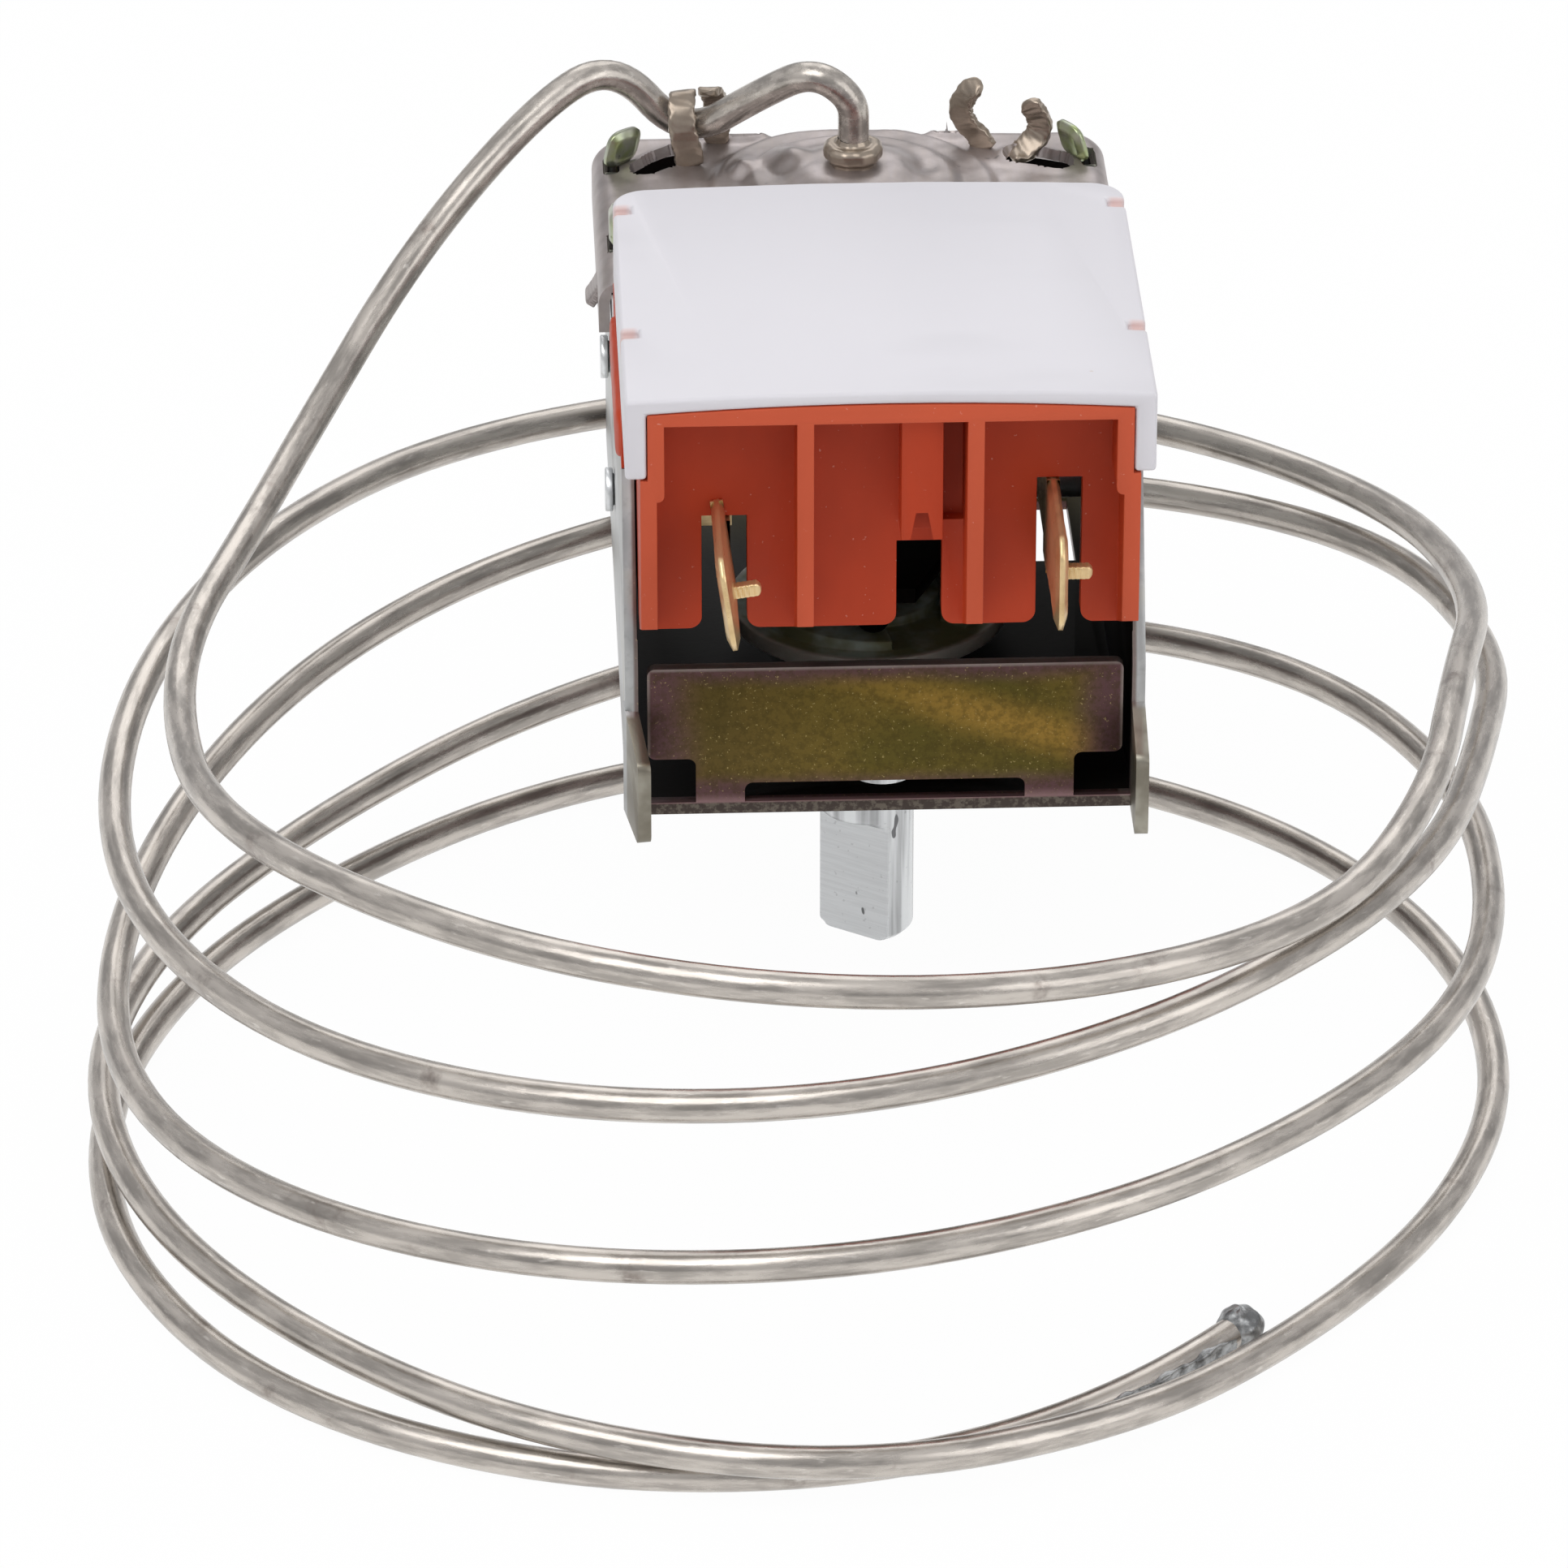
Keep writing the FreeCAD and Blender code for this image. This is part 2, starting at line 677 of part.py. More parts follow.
def make_ferrule():
    base = dome_top + running_gap
    neck_r = ferrule_d / 2 - ferrule_step
    bore_r = tube_d / 2 + running_gap
    return revolve_z([(bore_r, base), (ferrule_d / 2, base), (ferrule_d / 2, base + ferrule_lip),
                      (neck_r, base + ferrule_lip + ferrule_step), (neck_r, base + ferrule_h),
                      (bore_r, base + ferrule_h)], V(0, dome_y, 0))


def make_capsule():
    top = cup_under - touch_gap
    base = top - capsule_h
    wall = diaphragm_wall
    steps = 2 * diaphragm_waves
    flat_r = button_d / 2
    pitch = (capsule_r - wall - flat_r) / (steps + 1)
    waves = [(flat_r + (i + 1) * pitch, base + wall * ((i + 1) % 2)) for i in range(steps)]
    low = [(0, base), (flat_r, base)] + waves + [(capsule_r, base)]
    high = [(r, z + wall) for r, z in reversed(waves)] + [(flat_r, base + wall), (0, base + wall)]
    rim = [(capsule_r, top), (capsule_r - wall, top), (capsule_r - wall, base + wall)]
    return revolve_z(low + rim + high, V(0, dome_y, 0))


def make_button():
    top = cup_under - touch_gap - capsule_h - running_gap
    low = lever_web_z + lever_t + free_gap
    return cylinder(button_d / 2, top - low, V(0, dome_y, low))


def slot_cut(x, top):
    # The slot is open below, and its mouth flares in two quarter rounds.
    half = slot_w / 2
    y0 = recess_back - 0.5
    y1 = inner_front + 0.5
    r = slot_corner_r
    mouth = box(x - half - r, x + half + r, y0, y1, block_floor - 1, block_floor + r)
    for side in (-1, 1):
        mouth = mouth.cut(cylinder(r, y1 - y0, V(x + side * (half + r), y0, block_floor + r), V(0, 1, 0)))
    return box(x - half, x + half, y0, y1, block_floor - 1, top).fuse(mouth)


def crowned_slab(w, y0, y1, z0, z1, crown):
    # A slab whose top rises by the crown from its sides to its middle.
    radius = (w * w + crown * crown) / (2 * crown)
    slab = box(-w, w, y0, y1, z0, z1 + crown + 1)
    return slab.common(cylinder(radius, y1 - y0, V(0, y0, z1 + crown - radius), V(0, 1, 0)))


def make_block():
    w = block_half_w
    outer = crowned_slab(w, -block_front, block_rear, block_floor, block_top, block_crown)
    for side in (-1, 1):
        x0 = min(side * (w - block_neck), side * (w + 1))
        outer = outer.cut(box(x0, x0 + block_neck + 1, -block_front - 1, block_rear + 1, block_step_z,
                              block_top + 1))
    cuts = [box(-w + block_wall, w - block_wall, inner_front, block_rear - block_wall, block_floor - 1,
                block_top + 1)]
    bays = [(-w + side_wall_t, -rib_x - rib_t / 2), (-rib_x + rib_t / 2, rib_x - rib_t / 2),
            (rib_x + rib_t / 2, w - side_wall_t)]
    for x0, x1 in bays:
        bay = box(x0, x1, -block_front - 1, recess_back, block_floor - 1, bay_top)
        cuts.append(bay)
    cuts += [slot_cut(x, top) for x, top in slots]
    cuts.append(prism_yz([(-block_front - 1, block_floor - 1), (recess_back, block_floor - 1),
                          (recess_back, block_floor), (-block_front, block_floor + front_slope_rise),
                          (-block_front - 1, block_floor + front_slope_rise)], -w - 1, w + 1))
    cuts.append(box(-lever_nose_w / 2 - 1, lever_nose_w / 2 + 1, block_rear - block_wall - 1, block_rear + 1,
                    block_floor - 1, lever_web_z + nose_window_h))
    adds = [outer.cut(cuts)]
    for side in (-1, 1):
        x0 = min(side * (w - 0.5), side * half_out)
        adds.append(box(x0, x0 + half_out - w + 0.5, -flange_front, block_rear, side_height + running_gap,
                        side_height + running_gap + flange_t))
        # Shoulder of the outer bays, where the wall steps in for the cover's skirt.
        x1 = min(side * (w - side_wall_t - block_neck), side * (w - side_wall_t + 0.1))
        shoulder = box(x1, x1 + block_neck + 0.1, -block_front, recess_back + 0.1,
                       block_step_z - bay_shoulder_drop, bay_top + 0.1)
        inner_x = side * (w - side_wall_t - block_neck)
        low = block_step_z - bay_shoulder_drop
        adds.append(fillet_where(shoulder, block_neck * 0.9, lambda e: runs_along(e, V(0, 1, 0))
                                 and abs(e.Vertexes[0].Point.x - inner_x) < 0.01
                                 and abs(e.Vertexes[0].Point.z - low) < 0.01))
    # A shallow pocket in the back wall between the tongue and the right rib.
    body = adds[0]
    adds[0] = body.cut(box(tongue_x + tongue_w, rib_x - rib_t / 2, recess_back - 0.1,
                           recess_back + pocket_depth, tongue_low, bay_top))
    tongue = box(tongue_x, tongue_x + tongue_w, -block_front + block_wall, recess_back + 0.1, tongue_low,
                 bay_top + 0.1)
    mid = tongue_x + tongue_w / 2
    fork = prism_xz([(mid - fork_half_w, tongue_low - 0.1), (mid + fork_half_w, tongue_low - 0.1),
                     (mid + fork_half_w / 2, tongue_low + fork_rise),
                     (mid - fork_half_w / 2, tongue_low + fork_rise)], -block_front, recess_back - block_wall)
    adds.append(tongue.cut(fork))
    adds.append(box(-w + 0.5, w - 0.5, bridge_y, bridge_y + bridge_t, block_step_z, block_top))
    return join(adds)


def make_cover():
    w = cover_half_w
    low = cover_under - cover_skirt
    lid = crowned_slab(w, -block_front, cover_rear, low, cover_top, cover_crown)
    lid = fillet_where(lid, cover_corner_r, lambda e: runs_along(e, V(0, 0, 1))
                       and abs(e.Vertexes[0].Point.y - cover_rear) < 0.01)
    inside_w = block_half_w - block_neck + running_gap
    hollow = crowned_slab(inside_w, -block_front - 1, block_rear + running_gap, low - 1,
                          cover_under + running_gap, block_crown)
    cuts = [hollow]
    for side in (-1, 1):
        for y in (snap_front_y, snap_rear_y):
            x0 = min(side * (w - snap_w), side * (w + 1))
            cuts.append(box(x0, x0 + snap_w + 1, y - snap_len / 2, y + snap_len / 2, cover_under + 0.5,
                            cover_top + 1))
    return lid.cut(cuts)


def blade(x, z, lean):
    wall = recess_back - 0.1
    tip = recess_back - blade_reach
    half = blade_h / 2
    b = blade_bevel
    flat = prism_yz([(wall, z + half), (wall, z - half), (tip + b, z - half), (tip, z - half + b),
                     (tip, z + half - b), (tip + b, z + half)], x - blade_t / 2, x + blade_t / 2)
    pin = cylinder(blade_pin_d / 2, blade_pin_len + blade_t / 2,
                   V(x, tip + blade_reach / 2, z - blade_pin_drop), V(1, 0, 0))
    shape = join([flat, pin])
    shape.rotate(V(x, 0, z), V(0, 1, 0), lean)
    return shape


def blade_neck(x, z, height):
    return box(x - blade_t / 2, x + blade_t / 2, recess_back - 0.6, inner_front + block_wall,
               z - height / 2, z + height / 2)


def make_left_terminal():
    # The tail runs back under the contact arm and folds into two lugs that carry the arm's pin.
    x = left_blade_x
    left = x - blade_t / 2
    right = x + blade_t / 2
    half = contact_strip_w / 2
    lug_gap = half + touch_gap
    low = left_blade_z - left_neck_h / 2 - 1.0
    under_arm = arm_pin_z - arm_curl_r - free_gap
    lug_front = contact_y - lug_gap - terminal_lug_t
    lug_rear = contact_y + lug_gap
    riser = box(left, right, inner_front, lug_front + terminal_lug_t, low, left_blade_z + left_neck_h / 2)
    tail = box(left, right, inner_front, lug_rear + terminal_lug_t, low, under_arm)
    flat = blade(x, left_blade_z, left_blade_lean_deg)
    shapes = [flat, blade_neck(x, left_blade_z, left_neck_h), riser, tail]
    for y in (lug_front, lug_rear):
        shapes.append(box(contact_arm_pin_x - terminal_lug_half_w, contact_arm_pin_x + terminal_lug_half_w, y,
                          y + terminal_lug_t, low, arm_pin_z + terminal_lug_half_w))
    bore = cylinder(arm_pin_d / 2 + running_gap, 2 * contact_strip_w,
                    V(contact_arm_pin_x, contact_y - contact_strip_w, arm_pin_z), V(0, 1, 0))
    return join(shapes).cut(bore)


def make_right_terminal():
    x = right_blade_x
    half = contact_strip_w / 2
    rise = box(x - blade_t / 2, x + blade_t / 2, inner_front, contact_y + half,
               right_blade_z - terminal_tail_h / 2, fixed_strip_z + contact_strip_t)
    strip = box(contact_x - half, x + blade_t / 2, contact_y - half, contact_y + half, fixed_strip_z,
                fixed_strip_z + contact_strip_t)
    return join([blade(x, right_blade_z, 0), blade_neck(x, right_blade_z, right_neck_h), rise, strip])


def make_fixed_contact():
    top = fixed_strip_z - running_gap
    return cylinder(contact_d / 2, contact_h, V(contact_x, contact_y, top - contact_h))


def make_contact_arm():
    half = contact_strip_w / 2
    y = contact_y
    x = contact_arm_pin_x
    z = contact_arm_z
    strip = box(x, contact_arm_end_x - half, y - half, y + half, z, z + contact_strip_t)
    nose = cylinder(half, contact_strip_t, V(contact_arm_end_x - half, y, z))
    curl = cylinder(arm_curl_r, 2 * half, V(x, y - half, arm_pin_z), V(0, 1, 0))
    arm = join([strip, nose, curl])
    window_x = x + 2 * contact_strip_w - arm_window_len
    window = box(window_x, window_x + arm_window_len, y - arm_window_w / 2, y + arm_window_w / 2, z - 1, z + 2)
    bore = cylinder(arm_pin_d / 2 + running_gap, 2 * half + 2, V(x, y - half - 1, arm_pin_z), V(0, 1, 0))
    return arm.cut([window, bore])


def make_moving_contact():
    return cylinder(contact_d / 2, contact_h, V(contact_x, contact_y, moving_contact_z))


def make_arm_pin():
    reach = contact_strip_w / 2 + touch_gap + terminal_lug_t + touch_gap
    return cylinder(arm_pin_d / 2, 2 * reach, V(contact_arm_pin_x, contact_y - reach, arm_pin_z), V(0, 1, 0))


def make_pusher():
    base = lever_web_z + lever_t + touch_gap
    top = contact_arm_z - free_gap
    stem = cylinder(pusher_d / 2, top - pusher_cone_h - base, V(0, contact_y, base))
    cone = Part.makeCone(pusher_d / 2, pusher_tip_r, pusher_cone_h, V(0, contact_y, top - pusher_cone_h))
    return join([stem, cone])


def tube_points():
    # The bent lead from the ferrule, through the claws, over the cup's edge and down to the left, measured
    # from the middle of the dome's top.
    lead = [
        (0.0, 0.0, -0.3), (0.05, 0.0, 2.1), (0.0, 0.0, 4.5), (-2.6, 0.3, 6.3), (-5.8, 2.3, 3.9),
        (-10.7, 6.4, -1.0), (-15.3, 5.6, 5.0), (-20.6, 2.8, 2.6), (-28.5, -4.0, -4.2),
        (-35.0, -13.3, -11.5), (-39.2, -24.8, -13.9), (-42.6, -35.8, -14.5),
    ]
    lead = [(x, dome_y + y, dome_top + z) for x, y, z in lead]
    # Four and a third loose turns, going forwards from the left: (radius, height) every 45 degrees.
    keys = [
        (38.5, 8.5), (41.0, 12.5), (43.0, 12.5), (40.5, 9.5), (38.0, 9.5), (53.0, 3.0), (61.0, 0.0), (47.5, 4.0),
        (43.0, 1.5), (43.0, 2.5), (42.0, 5.0), (40.0, 7.5), (39.5, 4.0), (53.0, 0.0), (51.0, -2.5), (44.5, -5.0),
        (43.5, -10.5), (45.0, -7.5), (44.0, -4.5), (40.5, -4.0), (41.0, -6.5), (47.0, -7.5), (46.0, -10.5),
        (44.0, -16.0), (44.5, -16.6), (44.0, -16.8), (47.0, -16.6), (39.5, -19.0), (42.0, -19.0), (45.5, -19.0),
        (45.5, -19.0), (41.5, -19.0), (44.0, -19.0), (47.5, -19.0), (43.5, -19.0), (37.0, -19.0),
    ]
    axis_x = -4.0
    axis_y = -24.0
    step_deg = 22.5
    outset = 1.0 / math.cos(math.radians(step_deg / 2))
    stations = 70
    coil = []
    for i in range(stations):
        k = i // 2
        r, z = keys[k]
        if i % 2:
            before = keys[max(k - 1, 0)]
            after = keys[min(k + 2, len(keys) - 1)]
            r = (9 * (r + keys[k + 1][0]) - before[0] - after[0]) / 16.0
            z = (9 * (z + keys[k + 1][1]) - before[1] - after[1]) / 16.0
        z = max(z, tube_d / 2 - spindle_reach)
        turn = math.radians(180 + i * step_deg)
        coil.append((axis_x + r * outset * math.cos(turn), axis_y + r * outset * math.sin(turn), z))
    tip = [(tip_x, tip_y, tube_d / 2 - spindle_reach + tip_lift)]
    return [V(*p) for p in lead + coil + tip]


def make_tube():
    points = tube_points()
    path, length, radii = rounded_path(points)
    tube = swept_round(path, points, tube_d)
    section = math.pi * tube_d * tube_d / 4
    print("capillary length %.1f, volume over section %.1f" % (length, tube.Volume / section))
    print("capillary radii", " ".join("%.1f" % r for r in radii))
    return tube, points[-1], points[-2]


def make_bead(end, before):
    out = (end - before).normalize()
    ball = Part.makeSphere(bead_d / 2, end + out * (bead_d / 2 - bead_lap))
    return ball


def main():
    os.makedirs("parts", exist_ok=True)
    tube, end, before = make_tube()
    export("bracket", make_bracket())
    export("spindle", make_spindle())
    export("cam", make_cam())
    export("cam_follower", make_follower())
    export("follower_pin", cross_pin(follower_pin_y, follower_pin_z))
    export("main_lever", make_lever())
    export("lever_pin", cross_pin(lever_pin_y, lever_pin_z))
    export("range_spring", make_spring())
    export("range_nut", make_range_nut())
    export("range_screw", make_range_screw())
    export("element_cup", make_cup())
    export("diaphragm", make_capsule())
    export("thrust_button", make_button())
    export("ferrule", make_ferrule())
    export("capillary_tube", tube)
    export("tube_end_bead", make_bead(end, before).cut(tube))
    export("terminal_block", make_block())
    export("block_cover", make_cover())
    export("left_terminal", make_left_terminal())
    export("right_terminal", make_right_terminal())
    export("fixed_contact", make_fixed_contact())
    export("contact_arm", make_contact_arm())
    export("moving_contact", make_moving_contact())
    export("contact_arm_pin", make_arm_pin())
    export("pusher", make_pusher())


main()
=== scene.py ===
import json
import math

import bmesh
import bpy
import numpy as np
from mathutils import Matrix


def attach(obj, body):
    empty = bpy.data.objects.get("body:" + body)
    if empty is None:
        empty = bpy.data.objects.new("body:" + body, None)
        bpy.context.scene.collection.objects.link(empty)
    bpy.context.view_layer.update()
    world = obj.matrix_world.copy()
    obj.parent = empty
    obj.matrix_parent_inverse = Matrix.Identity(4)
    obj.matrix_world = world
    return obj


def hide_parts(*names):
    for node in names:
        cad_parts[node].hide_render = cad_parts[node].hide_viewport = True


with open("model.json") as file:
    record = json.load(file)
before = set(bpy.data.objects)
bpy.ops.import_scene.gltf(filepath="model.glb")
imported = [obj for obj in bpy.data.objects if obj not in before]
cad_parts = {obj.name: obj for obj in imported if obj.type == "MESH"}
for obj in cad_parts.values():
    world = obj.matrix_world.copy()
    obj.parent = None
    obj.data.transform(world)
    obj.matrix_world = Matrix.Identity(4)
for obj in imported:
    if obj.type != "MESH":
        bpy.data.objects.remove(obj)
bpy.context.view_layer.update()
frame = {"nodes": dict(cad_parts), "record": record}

bl_info = {
    "name": "Capillary Thermostat",
    "version": (1, 0, 0),
    "blender": (4, 5, 0),
    "location": "View3D > Sidebar > Thermostat",
    "description": "Dresses a capillary thermostat: bracket, element cup, switch block, spindle and tube",
    "category": "Object",
}

MM = 0.001
FLOOR_Z = -20.0 * MM
CAMERA_PLACE, CAMERA_TILT, CAMERA_TURN = (-0.02698, -0.53939, 0.27728), 62.0, -2.3  # metres and degrees

# Places that a finish and a made piece share, in millimetres.
SIDE_OUTER_X, SIDE_INNER_X = 15.45, 15.14
PANEL_FACE_Y, PANEL_BACK_Y, PANEL_TOP_Z = -21.97, -21.24, 9.95
PLATE_INSIDE_Z, PLATE_EDGE_Z = 0.6, 0.65
TAB_FOOT_Z, TAB_CUT_Z = 21.3, 22.02
SPINDLE_RADIUS, SPINDLE_TIP_Z = 3.0, -20.0
SPINDLE_FLAT_TURN, SPINDLE_FLAT_DEPTH, SPINDLE_FLAT_TOP = math.radians(236.0), 1.6, -11.8
CAM_RIM_RADIUS = 8.75
LID_NOTCHES_Y = (-17.5, 0.4)
BLADE_CUT_Y, BLADE_MIDDLE_Y = -23.3, -27.5


class ThermostatSizes(bpy.types.PropertyGroup):
    edge_break: bpy.props.FloatProperty(
        name="Sheet edge break", description="Rounding of the sheared sheet edges",
        default=0.10 * MM, subtype="DISTANCE", precision=6)
    moulding_round: bpy.props.FloatProperty(
        name="Moulding round", description="Rounding of the moulded edges of the block",
        default=0.16 * MM, subtype="DISTANCE", precision=6)
    cover_round: bpy.props.FloatProperty(
        name="Cover round", description="Rounding of the lid's edges",
        default=0.42 * MM, subtype="DISTANCE", precision=6)
    tube_diameter: bpy.props.FloatProperty(
        name="Tube diameter", description="Outside diameter of the capillary tube",
        default=2.0 * MM, subtype="DISTANCE", precision=6)
    camera_lens: bpy.props.FloatProperty(
        name="Camera lens", description="Focal length of the view camera in millimetres",
        default=219.5)


def colour(name, words, value):
    return bpy.props.FloatVectorProperty(
        name=name, description=words, subtype="COLOR", size=3, min=0.0, max=1.0, default=value)


class ThermostatColours(bpy.types.PropertyGroup):
    passivated: colour("Passivated zinc", "Olive of the folded sheet", (0.145, 0.100, 0.020))
    passivated_gold: colour("Passivated gold", "Golden band across the front panel", (0.37, 0.215, 0.042))
    passivated_edge: colour("Passivated edge", "Mauve bloom along the panel's edges", (0.108, 0.055, 0.058))
    side_grey: colour("Side grey", "Silver grey of the outer side plates", (0.58, 0.59, 0.59))
    # Painted shade: near-black colour for the inner faces of the folded sheet, where shade falls.
    inside_painted_shade: colour("Inside", "Dark olive brown of the inner faces", (0.010, 0.008, 0.006))
    tab_green: colour("Tab green", "Pale green of the twisted tabs", (0.46, 0.48, 0.41))
    # Painted light: the cam's green is lightened so that the cam still shows where it lies in shade.
    cam_green_lightened: colour("Cam green", "Green passivation of the cam", (0.60, 0.70, 0.62))
    tinned: colour("Tinned sheet", "Mauve grey of the element cup", (0.55, 0.50, 0.505))
    tube_grey: colour("Tube grey", "Drawn grey of the capillary tube", (0.62, 0.572, 0.52))
    zinc: colour("Turned zinc", "Silver of the spindle and pins", (0.84, 0.86, 0.87))
    brass: colour("Brass", "Yellow of the blades and contact strips", (0.85, 0.64, 0.35))
    thermoset: colour("Thermoset", "Brick red of the switch block", (0.53, 0.058, 0.018))
    lid_white: colour("Lid white", "Milky white of the cover", (0.722, 0.706, 0.742))
    phenolic: colour("Phenolic", "Near black of the buttons", (0.03, 0.03, 0.032))
    floor_white: colour("Floor", "Pale floor", (0.93, 0.93, 0.93))


# Materials. Each one starts from a Principled shader and adds its own pattern on Object coordinates.

def blank_material(name, metallic, roughness, coat=0.0):
    material = bpy.data.materials.new(name)
    material.use_nodes = True
    tree = material.node_tree
    shader = tree.nodes["Principled BSDF"]
    shader.inputs["Metallic"].default_value = metallic
    shader.inputs["Roughness"].default_value = roughness
    shader.inputs["Coat Weight"].default_value = coat
    shader.inputs["Coat Roughness"].default_value = 0.25
    return material, tree, shader


def node(tree, kind, **values):
    """A new node; a value goes to the input of its name, or else to the node's own setting."""
    made = tree.nodes.new(kind)
    for key, value in values.items():
        if key in made.inputs:
            made.inputs[key].default_value = value
        else:
            setattr(made, key, value)
    return made


def coordinates(tree, stretch=(1, 1, 1), source="Object"):
    """Object coordinates, or the piece's own UV, stretched so that a pattern runs fine across and long along."""
    place = node(tree, "ShaderNodeTexCoord")
    mapping = node(tree, "ShaderNodeMapping")
    mapping.inputs["Scale"].default_value = stretch
    tree.links.new(place.outputs[source], mapping.inputs["Vector"])
    return mapping.outputs["Vector"]


def noise(tree, vector, scale, detail=3.0, roughness=0.55):
    made = node(tree, "ShaderNodeTexNoise", Scale=scale, Detail=detail, Roughness=roughness)
    tree.links.new(vector, made.inputs["Vector"])
    return made.outputs["Fac"]


def ramp(tree, factor, low, high):
    """A smooth step from nought at low to one at high; high may be the smaller."""
    made = node(tree, "ShaderNodeMapRange")
    made.interpolation_type = "SMOOTHSTEP"
    made.inputs["From Min"].default_value = low
    made.inputs["From Max"].default_value = high
    tree.links.new(factor, made.inputs["Value"])
    return made.outputs["Result"]


def scaled(tree, factor, low, high):
    """Nought to one made low to high, in a straight line."""
    made = node(tree, "ShaderNodeMapRange")
    made.inputs["To Min"].default_value = low
    made.inputs["To Max"].default_value = high
    tree.links.new(factor, made.inputs["Value"])
    return made.outputs["Result"]


def math_node(tree, operation, a, b=None):
    made = node(tree, "ShaderNodeMath", operation=operation)
    for socket, value in zip(made.inputs, (a, b)):
        if isinstance(value, (int, float)):
            socket.default_value = value
        elif value is not None:
            tree.links.new(value, socket)
    return made.outputs[0]


def times(tree, a, b):
    return math_node(tree, "MULTIPLY", a, b)


def absolute(tree, value):
    return math_node(tree, "ABSOLUTE", value)


def distance_to(tree, value, centre):
    """How far a value lies from a centre, either way."""
    return absolute(tree, math_node(tree, "SUBTRACT", value, centre))


def axes(tree, vector):
    """The X, Y and Z of a vector."""
    split = node(tree, "ShaderNodeSeparateXYZ")
    tree.links.new(vector, split.inputs[0])
    return split.outputs["X"], split.outputs["Y"], split.outputs["Z"]


def mixed(tree, factor, a, b):
    """Colour a where the factor is nought and colour b where it is one."""
    made = node(tree, "ShaderNodeMix", data_type="RGBA")
    for socket, value in ((made.inputs[6], a), (made.inputs[7], b)):
        if hasattr(value, "is_output"):
            tree.links.new(value, socket)
        else:
            socket.default_value = (*value, 1.0)
    if isinstance(factor, (int, float)):
        made.inputs[0].default_value = factor
    else:
        tree.links.new(factor, made.inputs[0])
    return made.outputs[2]


def bumped(tree, shader, height, distance, strength=1.0):
    made = node(tree, "ShaderNodeBump", Strength=strength, Distance=distance)
    tree.links.new(height, made.inputs["Height"])
    tree.links.new(made.outputs["Normal"], shader.inputs["Normal"])


def painted(tree, shader, base, roughness=None):
    """Links a finish's colour to its shader, and its roughness where that varies."""
    tree.links.new(base, shader.inputs["Base Color"])
    if roughness is not None:
        tree.links.new(roughness, shader.inputs["Roughness"])


def darker(value, share):
    return tuple(part * share for part in value)


def inside_box(tree, place, half_width, front, low):
    """One inside the folded sheet and nought outside it, from the position alone; the sizes are in millimetres."""
    x, y, z = place
    wide = math_node(tree, "LESS_THAN", absolute(tree, x), half_width * MM)
    deep = math_node(tree, "GREATER_THAN", y, front * MM)
    above = math_node(tree, "GREATER_THAN", z, low * MM)
    return times(tree, wide, times(tree, deep, above))


